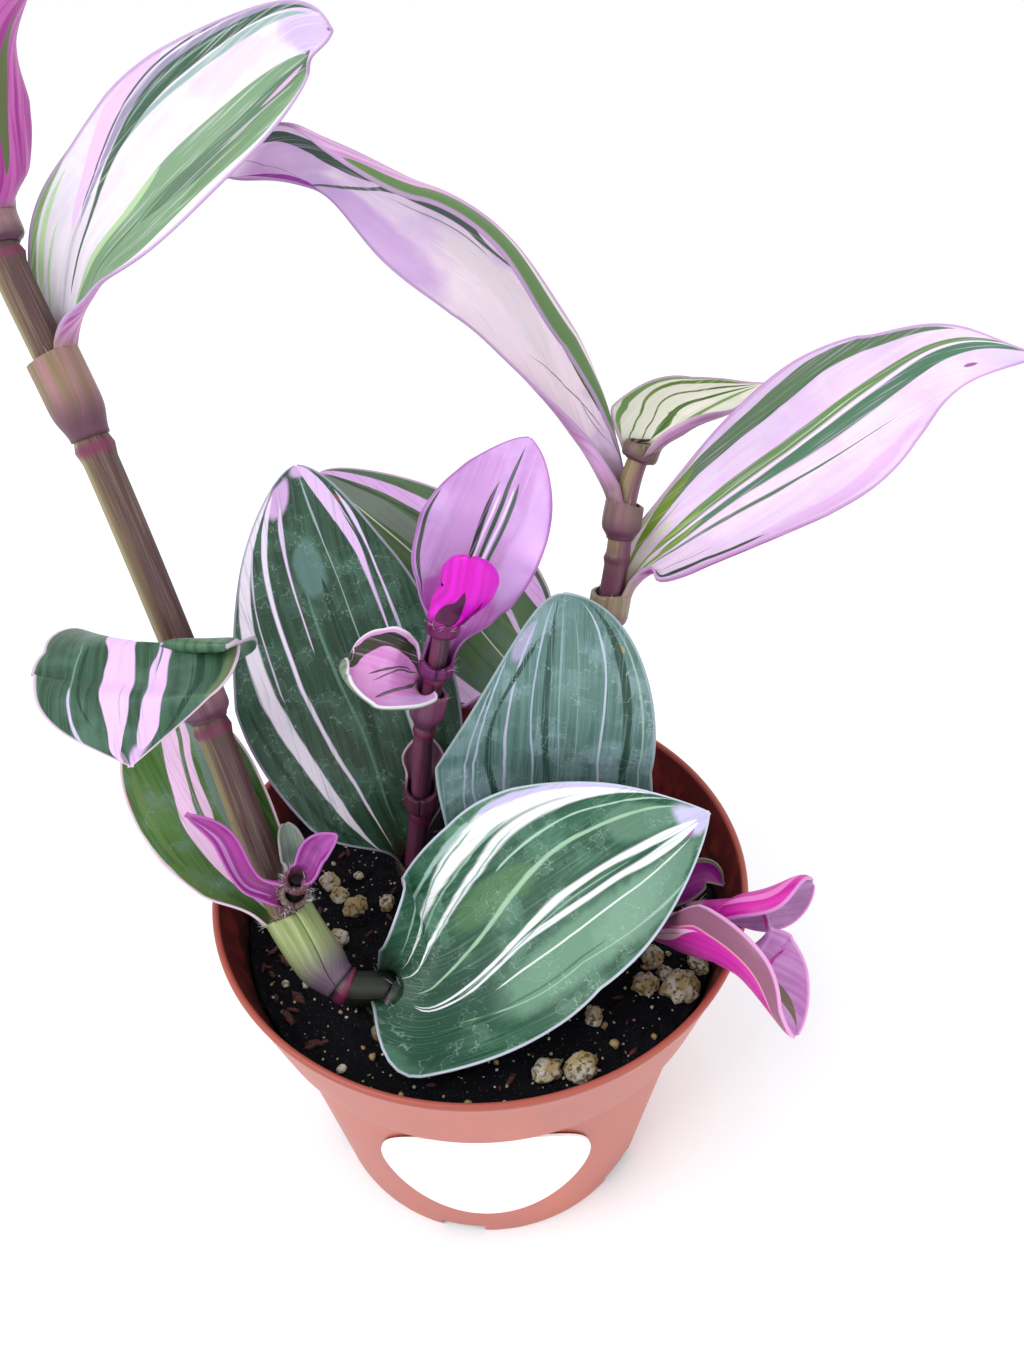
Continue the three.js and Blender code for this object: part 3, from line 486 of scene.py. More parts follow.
def grow_stem(names, skin, streak, shadow, ring, base=None):
    """Makes a stem, with a shoot that is one with it, and its streaked skin.

    The skin colour is painted light on the side towards the key light, and the shadow colour is painted
    shade on the side away from it. The base is the colour of its foot and the run, in mm, over which
    that colour fades out.
    """
    tubes = [stem_tube(name) for name in names]
    faces, start = [], 0
    for points, *_ in tubes:
        faces += tube(len(points) // STEM_SIDES, STEM_SIDES, start)
        start += len(points)
    points, around, near, run = (np.concatenate(parts) for parts in zip(*tubes))
    name = names[0] + "_skin"
    piece = mesh_piece(name, points, faces, sharp=50, around=around, ringed=near, up_stem=run)
    finish = Finish(name, subsurface_weight=0.1, subsurface_scale=0.0008, specular_ior_level=0.5)
    around = finish.reading("around", "Vector")
    wide = finish.grain(finish.stretch(around, (1, 1, 0.5)), 2.2, 3)
    fine = finish.grain(finish.stretch(around, (1, 1, 0.3)), 13, 4)
    specks = finish.grain(finish.place(), 2600, 2)
    # Painted light and shade: the side of the stem towards the key light takes the skin colour, the side
    # away from it the shadow colour.
    key_side = finish.add("SeparateXYZ", {0: around}, 1)
    lit_side = finish.calc("MULTIPLY_ADD", finish.calc("SUBTRACT", wide, 0.5), 1.2, key_side)
    tone = finish.blend(finish.ease(lit_side, -0.35, 0.75), colour(shadow), colour(skin))
    tone = finish.blend(finish.ease(fine, 0.48, 0.7, 0, 0.42), tone, colour(streak))
    tone = finish.blend(finish.ease(specks, 0.64, 0.74, 0, 0.15), tone, colour(streak))
    if base:
        code, start, end = base
        tone = finish.blend(finish.ease(finish.reading("up_stem"), start, end, 1, 0), tone, colour(code))
    tone = finish.blend(finish.ease(finish.reading("ringed"), 0.15, 0.8, 0, 0.9), tone, colour(ring))
    finish.feed("Base Color", tone)
    finish.feed("Roughness", finish.ease(fine, 0.3, 0.7, 0.34, 0.48))
    finish.ridges(fine, 0.35, 0.15)
    piece.data.materials.append(finish.material)
    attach(piece, "root")
    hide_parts(names[0])


# The tall stem's near-black foot, low by the soil under the front leaf, is painted shade as well as soil on
# it; it fades out from 24 to 42 mm up the stem.
grow_stem(
    ("stem_tall", "side_shoot"), skin="82754a", streak="8c7f60", shadow="4a2a2e", ring="6a1c44",
    base=("10150e", 24, 42),
)
grow_stem(("stem_short",), skin="6a3050", streak="7f5070", shadow="351a2a", ring="62163c")
grow_stem(
    ("stem_back",), skin="80704c", streak="98786c", shadow="64384a", ring="4f1834", base=("54283a", 83, 92)
)
grow_stem(("stem_right",), skin="bf9ea6", streak="d6c8be", shadow="9a5c7e", ring="86386a")

# The front leaf: the widest leaf of the plant, deep green with painted shade darkening its base and frosted
# towards its tip, with two broad white bands. Like every leaf here it is a soft blade that grows out of a
# sheath, a closed tube that clasps the stem above a node, in one sheet under a millimetre thick.
SHEATH_GAP, SHEATH_HUG, SHEATH_ROWS, SHEATH_TOP = 0.75, 0.85, 18, -0.1
LIP_HEIGHT, RIM_ROWS = 0.4, 6
CLOSED, LIP_BEND = math.radians(179.6), math.radians(95)
MIDRIB_MARKS, ROW_CROWDING, MARGIN_CROWDING = 200, 1.5, 0.35
LEAF_THICKNESS, TIP_HALF_WIDTH = 0.8, 0.35
THIN_EDGE, THIN_EDGE_LOSS, THIN_FOOT_LOSS = 1.4, 0.7, 0.7
GROOVE_DEPTH, GROOVE_HALF = 0.16, 0.7
RUFFLES, RUFFLE_SLANT = 41, 4
HAIR_RADIUS, GRAIN_SHIFT = 0.035, 7.3
EVEN = (1, 1, 1)


def smoothstep(x, start, end):
    t = np.clip((x - start) / (end - start), 0, 1)
    return t * t * (3 - 2 * t)


def leaf_rows(
    rows, clasps, blade, face, half, cup, widest=0.5, foot=0.8, tip=0.8, flare=0.2, wave=(0, 1), lobe=0,
    left=EVEN, right=EVEN,
):
    """The rows of a leaf from the foot of its sheath to its tip.

    Each row has the midrib's point, its ways along and up, half its width, its bend, wave and lobe,
    its share u and the shares of that width at its left and right margin. The share u runs from -1
    to SHEATH_TOP up the sheath, to 0 over its rim, and to 1 at the tip.
    """
    stem, low, high = clasps

    def clasp(place):
        middle, along, radius = stem_at(stem, place)
        up = square_to(np.asarray(face[0], float), along)
        reach = radius + SHEATH_GAP
        return middle - up * reach[:, None], along, up, reach * CLOSED

    # The midrib's line runs up the sheath, over its rim and through the points of the blade.
    mid, along, _, _ = clasp(np.linspace(low, high, math.ceil((high - low) * 4) + 2))
    lips = [mid[-1] + along[-1] * LIP_HEIGHT * k for k in (1, 2)]
    line = smooth_line(np.vstack([mid, lips, blade]))
    marks = np.arange(MIDRIB_MARKS + 1) / MIDRIB_MARKS
    run = run_of(line(marks))
    start = np.linalg.norm(mid[0] - lips[1]) / run[-1]

    # The sheath is closed up to its rim, which opens, and hugs the stem at its foot.
    mid, along, up, width = clasp(np.linspace(low, high, SHEATH_ROWS + 1))
    rise = np.arange(1, RIM_ROWS + 1) / RIM_ROWS
    rim_bend = CLOSED + (LIP_BEND - CLOSED) * rise
    bend = np.concatenate([np.full(len(mid), CLOSED), rim_bend])
    u = np.concatenate([np.linspace(-1, SHEATH_TOP, SHEATH_ROWS + 1), SHEATH_TOP - SHEATH_TOP * rise])
    mid = np.vstack([mid, mid[-1] + along[-1] * LIP_HEIGHT * 2 * rise[:, None]])
    along, up = (np.vstack([way, np.tile(way[-1], (RIM_ROWS, 1))]) for way in (along, up))
    width = np.concatenate([width, width[-1] * rim_bend / CLOSED])
    hug = 1 - SHEATH_HUG * (1 - smoothstep(u, -1, -0.6)) * SHEATH_GAP / (width / CLOSED)
    hug = np.where(u <= SHEATH_TOP, hug, 1)
    mid = mid + up * ((1 - hug) * width / CLOSED)[:, None]
    width = width * hug

    # The rows of the blade stand closer together towards its tip.
    w = 1 - (1 - np.arange(1, rows + 1) / rows) ** ROW_CROWDING
    share = np.interp((start + (1 - start) * w) * run[-1], run, marks)
    ahead = direction(line, share)
    opening = smoothstep(w, 0, flare)
    swell = foot + (1 - foot) * np.sin(math.pi / 2 * np.minimum(1, w / widest))
    fall = np.clip((w - widest) / (1 - widest), 0, 1)
    wide = np.maximum(TIP_HALF_WIDTH, half * swell * np.maximum(np.cos(math.pi / 2 * fall), 0) ** tip)
    cupped = np.radians(np.interp(w, [0, 0.5, 1], cup))
    none = np.zeros(len(mid))
    margins = [1 + (np.interp(w, [0, 0.5, 1], margin) - 1) * opening for margin in (left, right)]
    waved = wave[0] * smoothstep(w, 0.1, 0.4) * np.sin(TURN * wave[1] * w)
    pairs = [
        (mid, line(share)), (along, ahead), (up, square_to(smooth_line(face)(w), ahead)),
        (width, width[-1] + (wide - width[-1]) * opening), (bend, LIP_BEND + (cupped - LIP_BEND) * opening),
        (none, waved), (none, lobe * (1 - smoothstep(w, 0, 0.5))), (u, w),
        (none + 1, margins[0]), (none + 1, margins[1]),
    ]
    return [np.concatenate(pair) for pair in pairs]


def grow_leaf(name, form, look, rows=110, columns=44, hairs=0, ruffle=0.0, seed=1):
    """Makes a leaf of a form, with its skin and the hairs of its sheath, and stands it in for its node."""
    made = leaf_rows(rows, **form)
    mid, along, up, half, bend, wave, lobe, u, left, right = (values[:, None] for values in made)
    # The place across, v, runs from -1 at the right margin to 1 at the left, closer together there.
    even = np.linspace(-1, 1, columns + 1)
    v = np.sin(even * math.pi / 2) * MARGIN_CROWDING + even * (1 - MARGIN_CROWDING)
    margin = np.where(v > 0, left, right)
    turn = v * margin
    reach, angle = turn * half, bend * turn
    blade = smoothstep(u, 0.02, 0.2)
    crinkle = np.sin(RUFFLES * u + RUFFLE_SLANT * v + seed) * (1 - u**6)
    crinkle = ruffle * blade * np.abs(v) ** 3 * crinkle
    sideways = half / bend * np.sin(angle)
    lift = half / bend * (1 - np.cos(angle)) + wave * v**2 + crinkle
    upper = mid + np.cross(up, along) * sideways[..., None] + up * lift[..., None]
    upper -= along * (lobe * v**2)[..., None]
    down = unit(np.cross(np.gradient(upper, axis=1), np.gradient(upper, axis=0)))
    if np.sum(down * up, -1).mean() <= 0:
        down = -down
    # The sheet thins out towards its margins and at the foot of the sheath; a groove runs along the midrib.
    edge = half * margin * (1 - np.abs(v))
    thin = 1 - THIN_EDGE_LOSS * smoothstep(u, -0.16, 0) * (1 - np.sqrt(np.clip(edge / THIN_EDGE, 0, 1)))
    thin *= 1 - THIN_FOOT_LOSS * (1 - smoothstep(u, -1, -0.7))
    groove = GROOVE_DEPTH * blade * np.exp(-((reach / GROOVE_HALF) ** 2)) * (1 - 0.8 * u)
    lower = upper - down * (LEAF_THICKNESS * thin)[..., None]
    upper = upper - down * groove[..., None]

    ring = 2 * (columns + 1)
    last = (len(u) - 1) * ring
    faces = tube(len(u), ring, closed=False)
    for j in range(columns):
        k = ring - 1 - j
        faces += [(j + 1, j, k, k - 1), (last + j, last + j + 1, last + k - 1, last + k)]
    sheet_faces = len(faces)
    points = np.concatenate([upper, lower[:, ::-1]], axis=1).reshape(-1, 3).tolist()
    # Each hair is a thin spike with three sides that leans out of the outer face of the sheath's mouth.
    rng = random.Random(seed)
    for _ in range(hairs):
        row, j = SHEATH_ROWS + rng.randint(0, RIM_ROWS), rng.randint(0, columns)
        root, stalk = lower[row, j], along[row, 0]
        out = down[row, j] * rng.uniform(-1.0, -0.4) + stalk * rng.uniform(0.2, 1.3)
        out = out + np.array([rng.uniform(-0.5, 0.5) for _ in range(3)])
        tip = root + unit(out) * rng.uniform(1.0, 2.4)
        first = unit(np.cross(out, stalk + 0.01))
        second = unit(np.cross(out, first))
        a = len(points)
        for bearing in (0, 2.1, 4.2):
            beside = first * math.cos(bearing) + second * math.sin(bearing)
            points.append((root + beside * HAIR_RADIUS).tolist())
        points.append(tip.tolist())
        faces += [(a, a + 1, a + 3), (a + 1, a + 2, a + 3), (a + 2, a, a + 3), (a + 2, a + 1, a)]

    def kept(grid, lower_grid=None):
        """Readings of the upper and the lower side, row by row, and nothing for the hairs."""
        grid = grid + 0 * (u + v)
        lower_grid = grid if lower_grid is None else lower_grid + 0 * (u + v)
        both = np.concatenate([grid, lower_grid[:, ::-1]], axis=1).ravel()
        return np.concatenate([both, np.zeros(len(points) - len(both))])

    arc = run_of(mid[:, 0])[:, None]
    piece = mesh_piece(
        name + "_blade", points, faces, along=kept(u), across=kept(v), under=kept(0, 1), edge=kept(edge),
        sheet=np.stack([kept(reach), kept(arc), kept(GRAIN_SHIFT * seed)], 1),
        spot=np.stack([kept(u), kept(v), kept(0)], 1),
    )
    form_mesh = bmesh.new()
    form_mesh.from_mesh(piece.data)
    bmesh.ops.recalc_face_normals(form_mesh, faces=form_mesh.faces)
    form_mesh.to_mesh(piece.data)
    form_mesh.free()
    piece.data.materials.append(look)
    piece.data.materials.append(hair_finish.material)
    kinds = [0] * sheet_faces + [1] * (len(faces) - sheet_faces)
    piece.data.polygons.foreach_set("material_index", kinds)
    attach(piece, "root")
    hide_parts(name)


hair_finish = Finish("leaf_hair", roughness=0.5, base_color=colour("f4eef2"))
hair_grain = hair_finish.grain(hair_finish.place(), 3000)
hair_finish.feed("Roughness", hair_finish.ease(hair_grain, 0.3, 0.7, 0.4, 0.6))


SKIN_GAIN, SKIN_DEPTH = 0.9, 1.22
STRIPE_STRAY, STRIPE_REACH, STRIPE_SOFT = 0.026, 1.5, 0.4


def skin_colour(code):
    """A leaf's colour as the skin shows it: deeper than its code, the more so where it is dark."""
    return tuple(SKIN_GAIN * part**SKIN_DEPTH for part in colour(code)[:3]) + (1.0,)


def follow(finish, along, values):
    """A number that follows a smooth curve through pairs of a share along the leaf and a value."""
    output = finish.add("FloatCurve", {"Value": along})
    curve = output.node.mapping.curves[0]
    while len(curve.points) < len(values):
        curve.points.new(0.5, 0.5)
    for point, pair in zip(curve.points, values):
        point.location = pair
    output.node.mapping.update()
    return output


def striped(finish, tone, along, strayed, strokes, edge=0.022):
    """Lays lengthwise stripes over a tone.

    A stripe is a colour and points of place along, place across and half width, all in percent: 0 at
    the foot of the blade to 100 at its tip, and -100 to 100 from the right margin to the left one.
    """
    for code, *points in strokes:
        points = [[part / 100 for part in point] for point in points]
        # A stripe that starts or ends within the blade tapers off there.
        widths = [(u, half) for u, _, half in points]
        if points[0][0] > 0.04:
            widths.insert(0, (points[0][0] - 0.03, 0))
        if points[-1][0] < 0.96:
            widths.append((min(1, points[-1][0] + 0.04), 0))
        # A curve's own values lie between 0 and 1, so a place across is kept as a share of its reach.
        middle = [(u, (v + STRIPE_REACH) / (2 * STRIPE_REACH)) for u, v, _ in points]
        middle = finish.calc("MULTIPLY_ADD", follow(finish, along, middle), 2 * STRIPE_REACH, -STRIPE_REACH)
        breadth = finish.calc("MAXIMUM", follow(finish, along, widths), 0.0)
        off = finish.calc("ABSOLUTE", finish.calc("SUBTRACT", strayed, middle))
        crisp = finish.calc("SUBTRACT", breadth, edge)
        inner = finish.calc("MAXIMUM", crisp, finish.calc("MULTIPLY_ADD", breadth, STRIPE_SOFT, -0.002))
        there = finish.ease(off, inner, breadth, 1, 0)
        tone = finish.blend(there, tone, skin_colour(code))
    return tone


def leaf_finish(
    name, ground, strokes=(), under_strokes=(), patches=(), margin="e9dcec", under=("b0609f", "cc94c2"),
    sheath=("7d6a55", "a98c8c"), foot="6a3f5c", marks=0.0, gloss=0.4, edge_width=0.022,
):
    """The skin of a leaf, from its ground up to its margin, its under side and its sheath.

    A patch is a colour, its middle and its reach along and across, both as shares, and its strength.
    """
    finish = Finish(name, subsurface_weight=0.12, subsurface_scale=0.0008, specular_ior_level=0.32)
    along, across, edge = (finish.reading(key) for key in ("along", "across", "edge"))
    sheet, spot = finish.reading("sheet", "Vector"), finish.reading("spot", "Vector")
    streaks = finish.grain(finish.stretch(sheet, (1, 0.03, 1)), 1.1, 4)
    veins = finish.grain(finish.stretch(sheet, (1, 0.02, 1)), 3.6, 3)
    cloud = finish.grain(sheet, 0.16, 4)
    cells = finish.grain(sheet, 5.5, 2)
    strayed = finish.calc("MULTIPLY_ADD", finish.calc("SUBTRACT", streaks, 0.5), STRIPE_STRAY, across)
    tone = finish.blend(finish.ease(streaks, 0.36, 0.64), skin_colour(ground[0]), skin_colour(ground[1]))
    tone = finish.blend(finish.ease(cloud, 0.45, 0.68, 0, 0.55), tone, skin_colour(ground[2]))
    for code, (u, v), (long, wide), strength in patches:
        off = finish.add("VectorMath", {0: spot, 1: (u, v, 0)}, operation="SUBTRACT")
        off = finish.stretch(off, (1 / long, 1 / wide, 0))
        off = finish.add("VectorMath", {0: off}, 1, operation="LENGTH")
        ragged = finish.calc("ADD", off, finish.calc("SUBTRACT", cloud, 0.5))
        tone = finish.blend(finish.ease(ragged, 0.7, 1.1, strength, 0), tone, skin_colour(code))
    tone = striped(finish, tone, along, strayed, strokes, edge_width)
    tone = finish.blend(finish.ease(veins, 0.53, 0.7, 0, 0.4), tone, skin_colour(ground[2]))
    if marks:
        rings = finish.grain(sheet, 0.32, 3)
        line = finish.ease(finish.calc("ABSOLUTE", finish.calc("SUBTRACT", rings, 0.52)), 0, 0.012, marks, 0)
        here = finish.calc("MULTIPLY", line, finish.ease(cloud, 0.42, 0.56))
        dusty = finish.ease(finish.grain(sheet, 1.7, 5), 0.6, 0.8, 0, 0.5 * marks)
        tone = finish.blend(finish.calc("MAXIMUM", here, dusty), tone, skin_colour("c4d6d2"))
    rim = finish.ease(edge, 0.25, 0.6, 0.85, 0)
    tone = finish.blend(rim, tone, skin_colour(margin))
    back = finish.blend(finish.ease(streaks, 0.38, 0.62), skin_colour(under[0]), skin_colour(under[1]))
    back = striped(finish, back, along, strayed, under_strokes)
    back = finish.blend(rim, back, skin_colour(margin))
    tone = finish.blend(finish.reading("under"), tone, back)
    tube_tone = finish.blend(finish.ease(streaks, 0.2, 0.8), skin_colour(sheath[0]), skin_colour(sheath[1]))
    tube_tone = finish.blend(finish.ease(veins, 0.55, 0.66, 0, 0.5), tube_tone, skin_colour(sheath[0]))
    tube_tone = finish.blend(finish.ease(along, -0.9, -0.35, 0.85, 0), tube_tone, skin_colour(foot))
    tone = finish.blend(finish.ease(along, -0.02, 0.08, 1, 0), tone, tube_tone)
    finish.feed("Base Color", tone)
    finish.feed("Roughness", finish.ease(cells, 0.3, 0.7, gloss - 0.05, gloss + 0.08))
    finish.ridges(finish.calc("MULTIPLY_ADD", cells, 0.35, veins), 0.35, 0.12)
    return finish.material


grow_leaf(
    "leaf_front", hairs=14, seed=3,
    form=dict(
        clasps=("stem_tall", 1.55, 1.9),
        blade=[
            (-8.7, -25.1, 74.8), (6.1, -22.9, 83.6), (18.1, -18.8, 90.6), (30.4, -13.4, 96.4),
            (42.3, -7.8, 99.4),
        ],
        face=[(-0.9, -0.15, 0.35), (-0.2, -0.55, 0.8), (-0.2, -0.35, 0.9)],
        half=25.2, widest=0.38, foot=0.85, tip=0.87, flare=0.12, lobe=2.5, left=(0.8, 1, 1.1),
        right=(0.8, 0.65, 0.9), cup=(47, 13, 23), wave=(0.6, 2),
    ),
    look=leaf_finish(
        "front_leaf_skin", ("2b5e48", "3b7058", "76a28c"), margin="d3dbe8", marks=0.35, gloss=0.42,
        edge_width=0.04, sheath=("24392f", "3f5a48"), foot="24392f",
        strokes=[
            ("a9c4bd", (5, 62, 2), (10, 75, 3), (20, 81, 2.5), (30, 86, 3), (40, 90, 3)),
            ("f2f3f7", (4, 32, 2), (10, 55, 5), (20, 66, 6), (30, 75, 9), (40, 80, 10), (50, 84, 11),
                (60, 87, 10), (70, 90, 9), (85, 96, 8)),
            ("f4f5f9", (3, 0, 1.5), (6, 10, 2), (10, 29, 3.5), (15, 37, 4), (20, 43, 4.5), (30, 52, 5),
                (40, 60, 6), (50, 68, 6), (70, 79, 5), (85, 90, 3)),
            ("94b3a8", (8, 50, 0.8), (20, 69, 1.2), (30, 78.5, 1.4), (40, 84, 1.2)),
            ("a3bdb6", (6, 12, 0.8), (15, 35, 1.2), (25, 46.5, 1.4), (40, 58.5, 1.4), (50, 66.5, 1)),
            ("cfc6e6", (50, 92, 3), (70, 95, 4), (90, 97, 5)),
            ("9dbcad", (12, 47, 1.2), (20, 58, 1.5), (30, 65, 1.5), (40, 71, 1.5), (50, 76, 1.2)),
            ("b4d0c0", (45, 50, 1.2), (60, 59, 1.4), (70, 65, 1.4), (80, 70, 1.8), (90, 85, 2.5)),
            ("aac9ae", (10, -10, 1.5), (15, 0, 2), (20, 6, 2), (30, 15, 2.5), (40, 25, 3), (50, 33, 3),
                (60, 40, 2.5), (80, 50, 3), (92, 65, 3)),
            ("f3f5f9", (10, -28, 1.2), (20, -20, 2), (30, -11, 3), (40, -1, 3.5), (50, 5, 4), (60, 7, 3.5),
                (70, 7, 4), (80, 4, 7), (92, 0, 10)),
            ("eef0f8", (10, -31, 1.2), (20, -26, 1.8), (30, -17, 2.5), (40, -8, 4), (50, -8, 4.5),
                (60, -9, 4.5), (70, -11, 5.5), (80, -18, 9), (92, -20, 12)),
            ("93b3a4", (20, -23, 0.8), (35, -11, 1), (50, -1, 1.2), (62, 1, 1), (72, -1, 1)),
            ("e3ecea", (30, -35, 1), (40, -32, 1.8), (50, -33, 1.8), (65, -33, 1.8), (75, -38, 2),
                (88, -43, 2)),
            ("a3c2b0", (20, -53, 0.8), (35, -62, 1), (50, -65, 1), (65, -73, 1.4), (80, -90, 3)),
            ("4d7d5e", (15, -55, 1.2), (35, -57, 1.8), (55, -60, 1.2)),
        ],
        patches=[
            ("7fa890", (0.55, -0.5), (0.3, 0.33), 0.75), ("8db09e", (0.75, -0.6), (0.2, 0.35), 0.6),
            # Painted shade: the first patch on the next line, 245544, darkens the foot of the blade.
            ("245544", (0.1, -0.3), (0.2, 0.8), 0.7), ("6f9668", (0.38, 0.35), (0.16, 0.14), 0.5),
            ("7fa38f", (0.85, 0.4), (0.12, 0.3), 0.6), ("e0d8fa", (0.97, 0), (0.07, 0.9), 0.8),
            ("a8559c", (0.92, -0.28), (0.02, 0.16), 0.8),
        ],
    ),
)

# The lower left leaf, whose left margin is bleached and damaged, and the drooping leaf over it, whose
# tip has curled over and hangs down. Both are soft and juicy, green with pink bands, and clasp the
# lower half of the tall stem with their sheaths.
grow_leaf(
    "leaf_tall_lower", hairs=70, seed=5,
    form=dict(
        clasps=("stem_tall", 3.1, 3.95),
        blade=[(-47.3, -3.5, 91.5), (-56.1, 6.1, 103.2), (-61.7, 16.6, 111)],
        face=[(0.65, -0.75, -0.1), (0.25, -0.8, 0.55), (0.2, -0.8, 0.6)],
        half=12.4, widest=0.49, foot=0.57, tip=0.74, flare=0.25, left=(1, 1.05, 1.2),
        right=(0.75, 0.9, 1.25), cup=(81, 20, 15), wave=(0.6, 3),
    ),
    look=leaf_finish(
        "lower_leaf_skin", ("4f7538", "628648", "7c9488"), margin="ecd8e6", marks=0.15,
        sheath=("8c9a60", "b9c49a"), foot="6c4a78",
        strokes=[
            ("f2cff0", (4, 30, 2.9), (10, 32, 5.8), (20, 31, 10.9), (30, 32, 13.1), (40, 33, 13.1),
                (50, 32, 13.1), (60, 22, 13.1), (70, 14, 14.5), (80, 5, 17.4), (95, 0, 21.7)),
            ("46682f", (5, 20, 4), (15, 15, 5), (25, 10, 4.5), (36, 6, 3)),
            ("efcdec", (45, 8, 5.6), (60, -2, 7), (70, -12, 7), (80, -28, 8.4), (90, -35, 7)),
            ("9b8f93", (50, 15, 1.2), (60, 8, 1.4), (72, -2, 1.2)),
            ("7c9388", (40, -15, 8), (55, -22, 10), (70, -34, 9), (85, -45, 6)),
            ("e6c6e2", (10, -60, 5), (40, -55, 7), (70, -66, 6)),
            ("6f8c52", (10, 72, 3), (30, 78, 4), (50, 80, 5), (70, 80, 5)),
        ],
        patches=[
            ("efe9e2", (0.42, 1), (0.14, 0.06), 0.9), ("8d5f40", (0.65, 0.98), (0.03, 0.05), 0.9),
            ("7a9458", (0.2, 0.9), (0.2, 0.12), 0.6),
        ],
    ),
)
grow_leaf(
    "leaf_tall_drooping", hairs=16, ruffle=0.15, seed=8,
    form=dict(
        clasps=("stem_tall", 5.04, 5.16),
        blade=[
            (-51.1, 1.5, 128), (-54.2, -2.4, 136.5), (-53.5, -10.5, 134.5), (-53.4, -14.7, 134.2),
            (-53.2, -19.7, 124.6),
        ],
        face=[(-0.1, 1, 0.15), (0.05, 0.15, 1), (0.2, -0.75, 0.6)],
        half=18.1, widest=0.47, foot=0.65, tip=1.04, flare=0.15, left=(1, 0.95, 1.2), right=(1, 0.75, 1.35),
        cup=(49, 5, 15), wave=(0.8, 2),
    ),
    look=leaf_finish(
        "drooping_leaf_skin", ("3a5c48", "4c705b", "6f8f80"), margin="e2cfe2", gloss=0.36,
        under=("426a52", "5f8468"), sheath=("8a6670", "b08894"),
        strokes=[
            ("e9c8f7", (2, -90, 12.1), (5, -60, 12.1), (10, -32, 10.8), (20, -13, 6.75), (30, 5, 6.75),
                (40, 28, 8.1), (50, 31, 6.75), (60, 26, 9.45), (70, 31, 10.8), (80, 36, 14.9),
                (90, 45, 21.6)),
            ("6c8a80", (42, 28, 1), (50, 28, 1.4), (58, 25, 1)),
            ("efccfb", (10, -90, 13), (20, -70, 20.8), (30, -58, 23.4), (40, -25, 22.1), (50, -12, 15.6),
                (60, -12, 16.9), (70, -12, 18.2), (80, -11, 16.9), (87, -20, 15.6), (94, -50, 18.2)),
            ("d9cdec", (73, -62, 2), (80, -71, 3), (87, -90, 4)),
            ("7fa392", (48, -57, 1), (60, -58, 1.4), (72, -60, 1.2)),
            ("2f5343", (50, -50, 2), (65, -52, 2.5), (80, -50, 2)),
            ("2f5343", (50, 62, 3), (70, 70, 5), (85, 80, 4)),
        ],
        under_strokes=[
            ("d6c4d2", (10, 20, 6), (50, 20, 6), (90, 20, 8)),
        ],
        patches=[
            ("ecc4f6", (1, 0.4), (0.1, 0.5), 0.85), ("8b9a76", (0.55, 0.97), (0.25, 0.1), 0.6),
            ("bfa9bf", (0.97, -0.4), (0.05, 0.2), 0.6),
        ],
    ),
)

